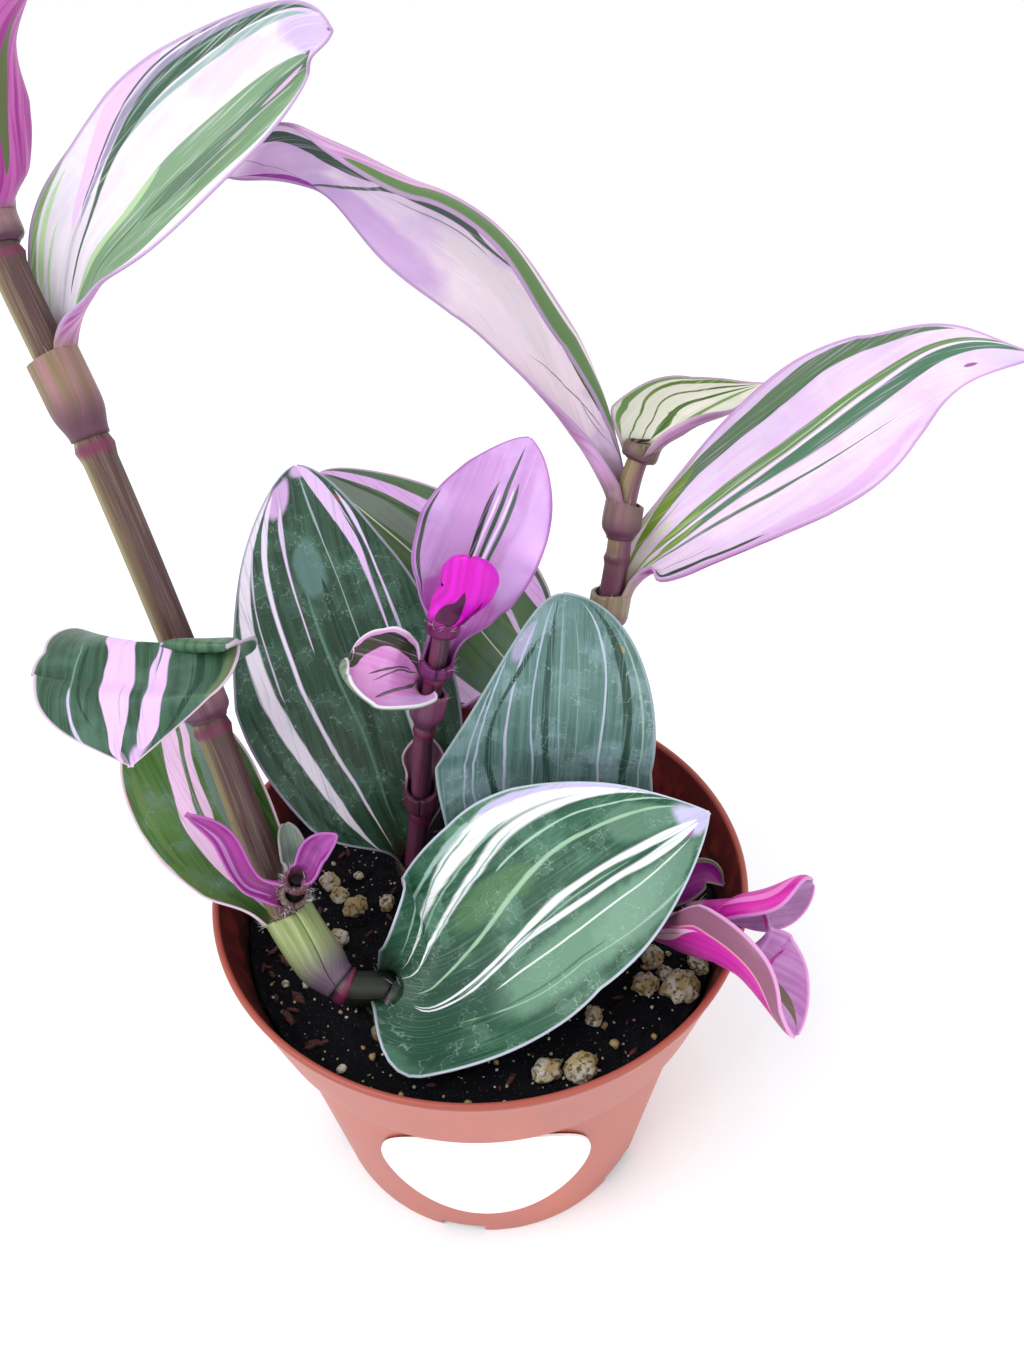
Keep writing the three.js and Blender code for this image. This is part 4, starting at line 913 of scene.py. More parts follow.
# The four leaves at the top of the tall stem: thin, soft blades, white to pink with green bands, each
# grown from a sheath that clasps the stem. They are the upper leaf, the one whose edge is in the
# picture, an outer leaf, and the young leaf, still rolled, that ends the stem.
grow_leaf(
    "leaf_tall_upper", hairs=16, seed=13,
    form=dict(
        clasps=("stem_tall", 6.05, 6.45),
        blade=[
            (-60.4, 36.5, 185.9), (-52, 37.7, 194.2), (-37.9, 39.3, 205.2), (-23.4, 42.2, 214.9),
            (-17.3, 38.2, 216.1),
        ],
        face=[(-0.8, -0.55, 0.15), (-0.05, -0.85, 0.55), (0.15, -0.95, 0.3)],
        half=11.6, widest=0.45, foot=0.75, tip=0.63, flare=0.15, left=(0.95, 1.05, 0.9),
        right=(1, 0.85, 1.05), cup=(66, 21, 21), wave=(0.6, 2),
    ),
    look=leaf_finish(
        "upper_leaf_skin", ("ebe6ee", "e4dcea", "f0ecf2"), margin="c4a8ce", gloss=0.42,
        sheath=("88804e", "b98c9a"), under=("c06fb0", "e0b4dc"),
        strokes=[
            ("93b07c", (10, 94, 6), (20, 95, 8), (32, 100, 5)),
            ("c4deb4", (10, 80, 5), (20, 80, 5), (28, 85, 3)),
            ("bfdaad", (8, 68, 2), (20, 65, 2)),
            # Painted shade: a grey stripe on the white blade near its foot.
            ("cfc9d2", (10, 36, 3), (20, 33, 4), (28, 38, 3)),
            ("e9cdf0", (26, 45, 5), (40, 70, 12), (50, 86, 12), (62, 97, 10)),
            ("a9a1bb", (28, 38, 2), (40, 57, 4), (50, 70, 5), (60, 78, 6), (70, 82, 7), (80, 84, 10),
                (92, 86, 10)),
            ("6f6a7c", (30, 45, 1.2), (40, 63, 1.6), (50, 76, 1.8), (60, 86, 2), (70, 92, 2), (80, 97, 2)),
            ("a7bdbb", (45, 50, 2), (60, 53, 4), (70, 54, 5), (80, 57, 8), (90, 60, 7)),
            ("54725e", (14, 18, 1.8), (20, 17, 2.4), (25, 20, 3), (30, 29, 3.6), (35, 40, 4.4),
                (40, 48, 5.6), (50, 59, 8), (60, 67, 10), (70, 71, 11), (80, 75, 10), (90, 80, 7)),
            ("8fa9a2", (50, 62, 1.2), (60, 70, 1.6), (70, 75, 1.8), (80, 79, 2)),
            ("86a686", (4, -40, 40), (12, -46, 46), (20, -54, 43), (30, -52, 40), (40, -46, 40),
                (50, -43, 42), (60, -45, 42), (70, -50, 42), (80, -56, 38), (88, -66, 28)),
            ("64846a", (40, -45, 4), (55, -52, 14), (70, -58, 20), (82, -64, 20), (90, -74, 14)),
            ("b5d2a8", (12, -2, 4), (20, -12, 7), (30, -16, 6), (45, -8, 5)),
            ("5f8a66", (16, -42, 2), (30, -42, 2), (40, -38, 2.5), (50, -38, 2.5), (60, -40, 2.5),
                (70, -40, 3), (76, -48, 3)),
            ("7a9a74", (50, -75, 5), (70, -72, 10), (85, -80, 8)),
            ("d9b4d6", (77, -57, 3), (85, -64, 5)),
        ],
        patches=[
            ("ecd4f6", (0.75, 0.3), (0.12, 0.25), 0.7), ("d2bcec", (0.97, 0.1), (0.1, 0.9), 0.85),
            ("7a5a48", (0.92, -0.7), (0.02, 0.12), 0.9), ("5b4a5c", (1, 0.2), (0.015, 0.3), 0.8),
        ],
    ),
)
grow_leaf(
    "leaf_tall_edge", rows=60, columns=28, hairs=8, seed=21,
    form=dict(
        clasps=("stem_tall", 7.08, 7.26),
        blade=[(-70.3, 35.5, 198.5), (-69, 38, 208), (-67, 42, 216), (-62, 48, 223)],
        face=[(-0.65, 0.75, 0.1), (-0.65, 0.65, 0.35), (-0.45, 0.2, 0.85)],
        half=8, widest=0.45, foot=0.7, cup=(80, 40, 25), wave=(0.4, 2),
    ),
    look=leaf_finish(
        "edge_leaf_skin", ("b8439a", "d06ab8", "9c3f86"), margin="e8c2e2", under=("a93a98", "cc74bc"),
        sheath=("8a7a5c", "b08a9c"),
        strokes=[
            ("d9b6dc", (10, 50, 10), (90, 50, 12)),
            ("a8ba98", (20, -50, 8), (80, -50, 8)),
        ],
        under_strokes=[
            ("6f7a52", (20, 10, 5), (80, 10, 5)),
        ],
    ),
)
grow_leaf(
    "leaf_tall_outer", rows=70, columns=32, hairs=8, seed=22,
    form=dict(
        clasps=("stem_tall", 7.59, 7.72),
        blade=[(-89.5, 42, 204.5), (-98.5, 42, 212), (-110, 40, 210)],
        face=[(0.75, 0.45, 0.5), (0.3, -0.3, 0.9), (-0.2, -0.4, 0.9)],
        half=10, foot=0.35, cup=(80, 25, 15), wave=(0.5, 2),
    ),
    look=leaf_finish(
        "outer_leaf_skin", ("e2d3e6", "d3c0de", "c4d0bf"), margin="c9aed0", sheath=("8a7a5c", "b08a9c"),
        strokes=[
            ("82a07c", (10, 60, 10), (50, 62, 14), (90, 60, 10)),
            ("a0b892", (10, -50, 8), (50, -55, 12), (90, -50, 8)),
            ("5f7c5c", (10, 10, 4), (90, 5, 4)),
        ],
    ),
)
grow_leaf(
    "leaf_tall_young", rows=60, columns=28, seed=23,
    form=dict(
        clasps=("stem_tall", 8.45, 8.9),
        blade=[(-82, 52.5, 219), (-83.5, 54, 227), (-85, 55, 234)],
        face=[(0.2, -0.9, 0.4), (0.2, -0.9, 0.4), (0.2, -0.9, 0.4)],
        half=7, widest=0.4, tip=0.9, cup=(110, 100, 80),
    ),
    look=leaf_finish(
        "young_leaf_skin", ("cf9ad2", "e0c2e4", "b97cbc"), under=("b650a6", "d890cc"),
        sheath=("8a7a5c", "b08a9c"),
        under_strokes=[
            ("8a9a70", (10, -40, 8), (90, -40, 10)),
            ("e6cfe8", (10, 40, 8), (90, 40, 10)),
        ],
    ),
)

# The side shoot's three narrow young leaves, magenta outside and soft. They are still rolled
# lengthwise round the shoot's tip, and long hairs stand at the mouths of their sheaths.
grow_leaf(
    "shoot_leaf_long", rows=60, columns=28, hairs=50, seed=31,
    form=dict(
        clasps=("side_shoot", 0.85, 1.1),
        blade=[(-40.8, -16, 92.5), (-45, -12.5, 101), (-51, -10.5, 104.5)],
        face=[(0.9, -0.4, -0.2), (0.3, -0.8, 0.4), (0.2, -0.8, 0.6)],
        half=2.6, cup=(90, 80, 60),
    ),
    look=leaf_finish(
        "long_shoot_leaf_skin", ("a23a98", "b656ac", "8a3a80"), margin="c47cc0", under=("9a2f8c", "b24aa4"),
        sheath=("6a4a52", "8f6a74"),
        strokes=[
            ("c894cc", (10, 40, 5), (90, 40, 6)),
            ("8a7a70", (5, -30, 6), (40, -30, 3)),
        ],
        under_strokes=[
            ("5f6a48", (10, 30, 6), (80, 30, 6)),
            ("cf94c8", (20, -60, 6), (90, -60, 6)),
        ],
    ),
)
grow_leaf(
    "shoot_leaf_blunt", rows=60, columns=28, hairs=60, seed=32,
    form=dict(
        clasps=("side_shoot", 1.6, 1.9),
        blade=[(-33.7, -11.3, 92.3), (-34, -9.5, 95.5), (-35, -7, 98)],
        face=[(0.4, -0.85, 0.3), (0.4, -0.85, 0.3), (0.4, -0.85, 0.3)],
        half=3, tip=0.5, cup=(90, 80, 60),
    ),
    look=leaf_finish(
        "blunt_shoot_leaf_skin", ("7f8c84", "9aa39c", "66786c"), margin="a8a2a4",
        under=("7c7a78", "9a9094"), sheath=("5c4a48", "8f8078"),
        under_strokes=[
            ("7c8a6c", (10, 0, 10), (90, 0, 10)),
        ],
    ),
)
grow_leaf(
    "shoot_leaf_short", rows=60, columns=28, hairs=40, seed=33,
    form=dict(
        clasps=("side_shoot", 2.6, 2.95),
        blade=[(-29.8, -15.8, 95.6), (-28, -14, 98.5), (-24.5, -13, 101)],
        face=[(-0.3, -0.8, 0.4), (-0.3, -0.8, 0.4), (-0.3, -0.7, 0.6)],
        half=3.2, cup=(90, 80, 50),
    ),
    look=leaf_finish(
        "short_shoot_leaf_skin", ("a0409c", "b864b4", "7c2c74"), margin="c07cc0",
        under=("8f2a84", "a8409c"), sheath=("5a3a46", "8a6470"),
        under_strokes=[
            ("d9b8d8", (10, 50, 6), (90, 50, 6)),
        ],
    ),
)

# The leaves of the short stem, each clasping it with its sheath: the big dark leaf that stands behind
# it, stiff and green with white bands, a small dry bract, the curled cup leaf, the thin upright pink
# leaf, and at its end the magenta leaf that is still rolled.
grow_leaf(
    "leaf_short_big", hairs=14, seed=41,
    form=dict(
        clasps=("stem_short", 1.14, 1.3),
        blade=[(-19, 11.4, 85.6), (-24.2, 20, 107.4), (-31, 31.7, 129.5), (-33, 39.8, 145.8)],
        face=[(0.4, -0.9, 0), (0.1, -0.85, 0.5), (-0.15, -0.8, 0.6)],
        half=22.2, widest=0.43, foot=0.47, tip=0.56, left=(0.9, 1.05, 0.75), right=(0.9, 0.9, 1),
        cup=(64, 5, 21), wave=(0.5, 2),
    ),
    look=leaf_finish(
        "dark_leaf_skin", ("33523f", "446553", "5f8474"), margin="aeb0c0", marks=0.3, gloss=0.36,
        sheath=("3f3a34", "6a5a4c"),
        strokes=[
            ("f4edfb", (9, 88, 4), (12, 70, 5), (15, 60, 6), (20, 55, 7), (25, 57, 7.5), (30, 59, 7.5),
                (40, 65, 8), (50, 71, 8), (60, 79, 8), (70, 87, 8), (80, 92, 8), (92, 96, 8)),
            ("dccfe8", (50, 60, 0.8), (60, 66, 1.2), (70, 75, 1.2), (80, 84, 2)),
            ("f2e8fb", (5, 60, 1.5), (10, 38, 1.8), (15, 28, 2.2), (20, 26, 2.5), (30, 32, 2.8),
                (40, 37, 2.8), (50, 42, 2.8), (60, 47, 3), (70, 55, 3.5), (80, 66, 5), (90, 78, 6)),
            ("e6d3f2", (60, 24, 1), (70, 28, 1.4), (80, 36, 3), (88, 47, 5)),
            ("24443a", (14, 80, 3), (30, 82, 3), (45, 88, 2)),
            ("6a9080", (10, 4, 1.4), (30, 2, 1.8), (50, 10, 1.8), (70, 15, 1.4)),
            ("2a4a3c", (25, -8, 3), (50, -6, 5), (70, -6, 4)),
            ("a9b8bd", (40, -20, 0.6), (60, -22, 1), (80, -22, 1.2), (95, -10, 3)),
            ("e9cdf4", (55, -52, 1), (65, -55, 2.5), (72, -58, 4), (80, -62, 7), (88, -60, 14),
                (96, -50, 25)),
            ("e6d6f4", (55, -64, 1.8), (70, -69, 2), (80, -76, 2.5), (90, -84, 5)),
            ("cdd6da", (30, -48, 2), (45, -44, 2.5)),
            ("35564a", (70, -66, 1.5), (80, -69, 1.5), (87, -70, 1.5)),
        ],
        patches=[
            ("7a9c9a", (0.77, 0.05), (0.08, 0.2), 0.65), ("eac6f6", (0.93, 0.62), (0.05, 0.3), 0.8),
            ("e9c9f4", (1, -0.1), (0.03, 0.8), 0.8), ("9a6a5a", (0.92, -0.78), (0.01, 0.06), 0.8),
            ("3f5a34", (0.04, 0.1), (0.08, 0.8), 0.6),
        ],
    ),
)
grow_leaf(
    "leaf_short_bract", rows=60, columns=28, hairs=8, seed=42,
    form=dict(
        clasps=("stem_short", 2.08, 2.3),
        blade=[(-11, 12.4, 95), (-10.6, 12.6, 98.5), (-10.4, 12, 102)],
        face=[(0, -1, 0), (0, -1, 0), (0, -1, 0.2)],
        half=5, tip=0.7, cup=(95, 70, 50),
    ),
    look=leaf_finish(
        "bract_skin", ("b58fa0", "96707e", "7a5464"), margin="cdb3c6", under=("7c4a62", "a67a90"),
        sheath=("4c283a", "7a4a62"),
    ),
)
grow_leaf(
    "leaf_short_cup", rows=100, columns=40, hairs=12, seed=43,
    form=dict(
        clasps=("stem_short", 3.12, 3.68),
        blade=[(-14, 5.3, 120.2), (-18.3, 4.6, 122.6), (-22.2, 3.7, 125.3), (-21.5, 4.2, 126.7)],
        face=[(0.9, 0.4, 0.2), (0.4, -0.35, 0.85), (0.95, 0.2, 0.1)],
        half=10, widest=0.51, foot=0.71, tip=0.64, left=(1, 0.95, 0.9), right=(1.05, 1.05, 0.75),
        cup=(95, 68, 49),
    ),
    look=leaf_finish(
        "cup_leaf_skin", ("d694d2", "e0a6da", "e6bce6"), margin="e6e6ea", under=("7c8a78", "98a494"),
        sheath=("6a3454", "a06a8c"),
        strokes=[
            ("6a625c", (2, -50, 4), (6, -26, 6), (10, -12, 7), (15, -5, 6), (20, 0, 5), (30, 8, 5),
                (40, 20, 5.5), (52, 42, 5)),
            ("a898a6", (20, 1, 0.8), (30, 8, 1), (40, 21, 1.2), (50, 41, 1.4)),
            ("76626a", (8, -60, 3), (15, -40, 3.5), (20, -36, 3), (30, -30, 2.8), (40, -20, 2.5),
                (55, 0, 1.6)),
            ("66565e", (14, -48, 2), (20, -42, 2.5), (30, -36, 2.5), (40, -28, 3), (50, -20, 3.5),
                (60, -10, 2.5)),
            # Partly painted shade: the real green band along this margin is painted dark olive where the cup
            # shades it.
            ("464a36", (5, -78, 5), (10, -80, 9), (15, -76, 12), (20, -75, 13), (40, -74, 14),
                (50, -75, 15), (60, -74, 16), (66, -69, 19), (72, -63, 24), (78, -50, 30), (84, -50, 34)),
            ("353b2a", (10, -88, 3), (30, -85, 4), (55, -86, 3)),
        ],
        under_strokes=[
            ("d9cfd8", (10, 20, 5), (80, 30, 8)),
            ("d6bcd6", (10, -50, 6), (80, -50, 10)),
        ],
        patches=[
            ("dcc2ee", (0.2, 0.6), (0.3, 0.35), 0.6), ("e9b4e2", (0.68, 0.1), (0.12, 0.4), 0.6),
            ("d9dcda", (0.93, 0), (0.07, 1.2), 0.9),
        ],
    ),
)
grow_leaf(
    "leaf_short_upright", hairs=20, ruffle=0.25, seed=44,
    form=dict(
        clasps=("stem_short", 4.14, 4.5),
        blade=[(-1.6, 19.4, 130.4), (2.1, 20.6, 138.5), (6.9, 22.2, 147.9), (11, 25.9, 157.2)],
        face=[(0.05, -0.95, 0.25), (-0.1, -0.9, 0.4), (-0.2, -0.9, 0.4)],
        half=12, widest=0.54, foot=0.29, tip=0.63, left=(1.05, 1.05, 1), right=(1, 0.9, 0.85),
        cup=(70, 29, 15), wave=(0.7, 4),
    ),
    look=leaf_finish(
        "upright_pink_leaf_skin", ("d2a6da", "c99ed4", "dcbcec"), margin="b47cbc",
        sheath=("5a1f50", "8f4686"), under=("9c4a90", "c486be"),
        strokes=[
            ("56665a", (20, 90, 2), (30, 88, 4.5), (40, 90, 4.5), (50, 91, 4), (62, 94, 2.5)),
            ("ece0f4", (36, 6, 2), (60, 9, 2.5), (72, 13, 2)),
            ("ece2f6", (36, -9, 2), (60, -9, 2.5), (76, -7, 2)),
            ("2c4032", (30, 6, 2.8), (43, 10, 4.2), (50, 12, 4.9), (60, 17, 4.9), (70, 22, 4.2),
                (76, 24, 2.8)),
            ("4c6556", (34, -5, 2.6), (45, -3, 3.9), (60, 0, 4.55), (70, 3, 4.55), (80, 6, 5.2),
                (93, 5, 3.9)),
            ("5c7268", (36, -17, 2.6), (45, -17, 3.9), (60, -17, 4.55), (78, -14, 3.9)),
        ],
        patches=[
            ("cc5cc6", (0.14, 0.5), (0.2, 0.5), 0.8), ("c766c4", (0.12, -0.5), (0.2, 0.5), 0.7),
            ("e6c4f8", (0.6, -0.7), (0.3, 0.3), 0.6),
        ],
    ),
)
grow_leaf(
    "leaf_short_rolled", rows=70, columns=32, hairs=15, seed=45,
    form=dict(
        clasps=("stem_short", 5.56, 5.96),
        blade=[(-3.4, 9.3, 132.9), (-1.1, 8.9, 136), (0.4, 11.5, 142.2)],
        face=[(0.3, 0.95, 0.1), (0.2, 0.95, 0.1), (0.1, 1, 0.1)],
        half=6.7, widest=0.7, foot=0.64, tip=0.38, left=(1.05, 1.1, 1), right=(0.85, 0.95, 0.95),
        cup=(96, 89, 69),
    ),
    look=leaf_finish(
        "rolled_magenta_leaf_skin", ("b81f92", "cc3fae", "8f1776"), margin="dc7fd2",
        under=("cc00ba", "dd12d0"), sheath=("5a1648", "8f2c7c"), gloss=0.34,
        under_strokes=[
            ("5f1050", (5, 0, 35), (25, 0, 28), (40, 0, 14), (55, 0, 5)),
            ("8f0f80", (5, 60, 12), (30, 50, 10), (50, 45, 4)),
        ],
    ),
)

# The leaves of the back stem, thin and soft, each clasping it with its sheath: one behind the dark
# leaf, the big pink one to the right, the long one that arches to the left and turns its under side
# up, and the folded young leaf that ends the stem.
grow_leaf(
    "leaf_back_lower", hairs=12, seed=51,
    form=dict(
        clasps=("stem_back", 2.08, 2.25),
        blade=[(13.2, 25.1, 103.7), (6.3, 34.4, 105.8), (-9.1, 47.1, 117.3), (-33.7, 63, 132)],
        face=[(0.55, -0.8, -0.1), (0.1, -0.85, 0.5), (0.1, -0.8, 0.6)],
        half=17.2, widest=0.47, foot=0.38, tip=0.58, left=(1.4, 1.2, 1), right=(0.9, 1, 0.85),
        cup=(72, 15, 15), wave=(0.5, 2),
    ),
    look=leaf_finish(
        "back_lower_leaf_skin", ("4c7038", "5c8050", "5f8076"), margin="d9bedd", under=("9c4a8e", "c48ab8"),
        sheath=("5f3a44", "8f6a72"),
        strokes=[
            ("e9d3f2", (10, 70, 8), (40, 75, 16), (80, 80, 16)),
            ("e0c9ec", (10, -12, 3), (30, -27, 4.5), (38, -35, 5), (50, -40, 4)),
            ("cfd6c2", (10, 15, 1), (30, 10, 1.2), (60, 2, 1.2), (90, 0, 1.2)),
            ("7f8f80", (60, -20, 10), (75, -22, 18), (95, -20, 20)),
            ("3f5f33", (60, -45, 3), (80, -46, 4), (95, -40, 5)),
            ("e9c2f4", (30, -80, 10), (50, -75, 12), (70, -65, 12), (85, -66, 13), (97, -60, 16)),
            ("5c8455", (65, -93, 5), (95, -96, 5)),
        ],
        patches=[("e0bcee", (1, 0.2), (0.08, 0.9), 0.7)],
    ),
)
grow_leaf(
    "leaf_back_right", hairs=12, seed=52,
    form=dict(
        clasps=("stem_back", 3.1, 3.5),
        blade=[
            (33.5, 28.1, 131.4), (40.2, 26.4, 137.9), (56.8, 28.4, 150.6), (72.7, 30.1, 162.2),
            (80.8, 26.8, 168.9), (94.2, 21.2, 171.7),
        ],
        face=[(-0.9, -0.6, 0.15), (-0.25, -0.85, 0.5), (-0.2, -0.8, 0.5)],
        half=12.7, foot=0.38, tip=1.09, flare=0.12, left=(0.6, 1.5, 0.7), right=(1.2, 1.4, 0.6),
        cup=(83, 62, 20), wave=(1, 3),
    ),
    look=leaf_finish(
        "right_leaf_skin", ("ecd8f2", "f2e2f6", "e6c9ee"), margin="cba6d4", gloss=0.42,
        under=("a858a0", "d09ccb"), sheath=("85805a", "a8968a"),
        strokes=[
            ("b5cc80", (8, 84, 5), (12, 88, 7), (20, 94, 5), (30, 96, 4)),
            ("6f9068", (12, 62, 12), (20, 76, 15), (30, 76, 14), (40, 66, 13), (50, 62, 15), (60, 75, 15),
                (70, 83, 13), (80, 88, 7)),
            ("86a636", (4, 40, 5), (8, 52, 8), (10, 58, 11), (15, 68, 13), (20, 75, 12), (26, 78, 8)),
            ("547a56", (28, 66, 1.2), (40, 54, 1.6), (50, 50, 1.6), (62, 66, 1.4)),
            ("aec07a", (10, 48, 1.2), (20, 53, 1.4)),
            ("e6e6d8", (8, 30, 10), (15, 35, 10)),
            ("799c64", (12, 7, 6), (20, 16, 8.5), (30, 16.5, 8), (40, 14, 7), (50, 12.5, 6.5),
                (60, 17, 6.5), (70, 26, 7), (80, 45, 7), (90, 80, 6)),
            ("9ab850", (3, 6, 3), (10, 5, 4.5), (15, 12, 5), (22, 17, 4)),
            ("5f8a6e", (14, -7, 6), (20, -1, 6), (30, 1, 5), (40, -1, 5.5), (50, -2, 7.5), (60, -2, 9.5),
                (70, 3, 12), (80, 18, 15), (90, 55, 16), (96, 80, 16)),
            ("96b44c", (3, -8, 3), (10, -12, 4.5), (15, -6, 4.5), (21, 0, 3.5)),
            ("f2eef8", (10, -3, 0.8), (20, 6, 1), (30, 7, 1), (40, 5.5, 1.2), (50, 5, 1.4), (60, 8.5, 1.6),
                (70, 17, 1.8), (80, 36, 2), (90, 72, 2)),
            ("cfdcc4", (15, 13, 0.6), (30, 14, 0.7), (50, 11, 0.7), (65, 19, 0.7)),
            ("5c7f62", (10, -19, 2), (15, -16, 2.5), (20, -13, 3), (30, -15, 3.5), (40, -20, 3),
                (47, -22, 2), (56, -27, 1.2), (66, -36, 0.8)),
            ("35553f", (10, -90, 8), (14, -70, 9), (20, -62, 6), (25, -68, 6), (30, -70, 5)),
            ("8f8290", (10, -52, 1), (15, -43, 1), (21, -42, 0.8)),
        ],
        patches=[
            ("d9cafa", (1, -0.1), (0.16, 1.2), 0.8), ("9a4088", (0.86, -0.28), (0.014, 0.08), 0.9),
            ("e6b8ec", (0.45, -0.75), (0.3, 0.14), 0.6), ("dfe3c8", (0.03, 0), (0.06, 1.2), 0.7),
        ],
    ),
)
grow_leaf(
    "leaf_back_long", hairs=10, seed=53,
    form=dict(
        clasps=("stem_back", 4.42, 5.2),
        blade=[
            (20.5, 36.3, 153.6), (14.7, 40.4, 168.5), (6.5, 40.1, 181.3), (-7.2, 42.5, 190.1),
            (-22.6, 44, 197.8), (-37.2, 41.8, 195.8),
        ],
        face=[(0.9, -0.4, -0.15), (-0.65, -0.75, 0.2), (-0.9, -0.25, -0.15)],
        half=10.8, widest=0.53, foot=0.24, tip=0.81, flare=0.15, left=(1, 1.15, 0.7),
        right=(1.6, 1.3, 1.55), cup=(120, 79, 47), wave=(0.6, 2),
    ),
    look=leaf_finish(
        "long_leaf_skin", ("ead6ec", "efe2f0", "dcc4e6"), margin="b89cc0", under=("c090c0", "d8b2d6"),
        sheath=("6f6c48", "987080"),
        strokes=[
            ("4f733a", (8, -95, 8), (13, -75, 10), (17, -52, 8), (20, -40, 7), (25, -27, 6), (30, -20, 6),
                (40, -16, 6), (50, -20, 4)),
            ("e9e2e6", (20, -60, 8), (30, -40, 10), (50, -45, 14), (58, -50, 8)),
            ("6a7f68", (14, -40, 1.2), (20, -12, 1.4), (28, 26, 1.2)),
            ("7c8f80", (10, -60, 1.2), (14, -30, 1.4), (18, -18, 1)),
            ("9aa49e", (53, -2, 1.2), (60, -4, 1.4), (68, 5, 1.2)),
            ("5c7264", (46, -15, 2), (52, -10, 4), (58, -22, 10), (65, -22, 13), (70, -10, 8), (75, 25, 5),
                (80, 60, 4.5), (84, 82, 4)),
            ("4f6858", (62, -60, 8), (70, -40, 16), (75, -15, 20), (80, -5, 20), (85, -25, 18),
                (90, -60, 16), (94, -80, 8)),
            ("e4d4ea", (60, -33, 1.2), (70, -22, 2), (78, -12, 1.2)),
            ("6f7f74", (90, 40, 1.5), (93, 0, 2), (96, -50, 2)),
            ("a94fb0", (83, 100, 4), (88, 80, 12), (92, 70, 16), (95, 55, 10)),
        ],
        under_strokes=[
            ("7c8f72", (10, 30, 6), (50, 30, 10), (90, 20, 8)),
            ("e0d0de", (10, -20, 12), (90, -20, 15)),
            ("6a8858", (3, -92, 10), (20, -90, 12), (40, -88, 12), (60, -90, 10), (75, -94, 8)),
            ("dfe2d6", (5, -76, 3), (30, -73, 4), (50, -75, 3)),
        ],
        patches=[
            ("c9a0dc", (0.72, 0.75), (0.2, 0.35), 0.6), ("f8eef2", (0.3, 0.4), (0.3, 0.9), 0.8),
            ("c79ad4", (0.9, 0.1), (0.08, 0.7), 0.5), ("e6e0e2", (0.42, 0.15), (0.2, 0.2), 0.6),
            ("b89ab0", (0.03, 0), (0.08, 1.2), 0.7),
        ],
    ),
)
grow_leaf(
    "leaf_back_young", rows=80, columns=36, hairs=10, seed=54,
    form=dict(
        clasps=("stem_back", 6.5, 6.98),
        blade=[(39, 38.5, 154.8), (46.5, 42.8, 156.4), (56, 46.5, 157.5)],
        face=[(-0.6, -0.2, 0.8), (-0.25, -0.5, 0.8), (-0.25, -0.5, 0.8)],
        half=11.3, widest=0.2, foot=0.85, tip=1.1, flare=0.15, lobe=5, left=(1.2, 0.6, 0.4),
        right=(1, 0.8, 0.8), cup=(95, 80, 60),
    ),
    look=leaf_finish(
        "folded_leaf_skin", ("dfdfd4", "e9e6de", "d3d9c4"), margin="c9b0c6", under=("8a5478", "a8689c"),
        gloss=0.42, sheath=("6f6c48", "94747c"),
        strokes=[
            ("7ba064", (6, 97, 4), (10, 90, 6), (15, 82, 7), (20, 90, 8), (50, 95, 6), (90, 90, 5)),
            ("6a8c34", (0, 95, 2), (5, 80, 2.5), (10, 58, 2.5), (15, 53, 2.5), (20, 59, 3.5), (25, 70, 4),
                (35, 78, 5), (90, 70, 5)),
            ("5c7c30", (0, 68, 2), (5, 48, 2.5), (10, 36, 2.2), (15, 32, 2), (20, 36, 2), (30, 50, 2.5),
                (50, 50, 4), (90, 40, 5)),
            ("527a28", (4, 28, 2), (10, 15, 6), (15, 12, 8), (20, 12, 9), (25, 15, 7), (35, 20, 6),
                (60, 15, 6), (90, 10, 5)),
            ("7fa05c", (5, -25, 4), (50, -20, 6), (90, -15, 5)),
        ],
        under_strokes=[
            ("5f5048", (3, -30, 8), (20, -32, 10), (50, -38, 7), (70, -60, 6)),
            ("b05cb0", (15, -10, 3), (30, -16, 5), (50, -20, 8), (70, -25, 14), (90, -50, 30)),
            ("c490bc", (5, -92, 5), (90, -90, 6)),
        ],
        patches=[("6d5138", (0.27, 0.17), (0.03, 0.08), 0.9)],
    ),
)

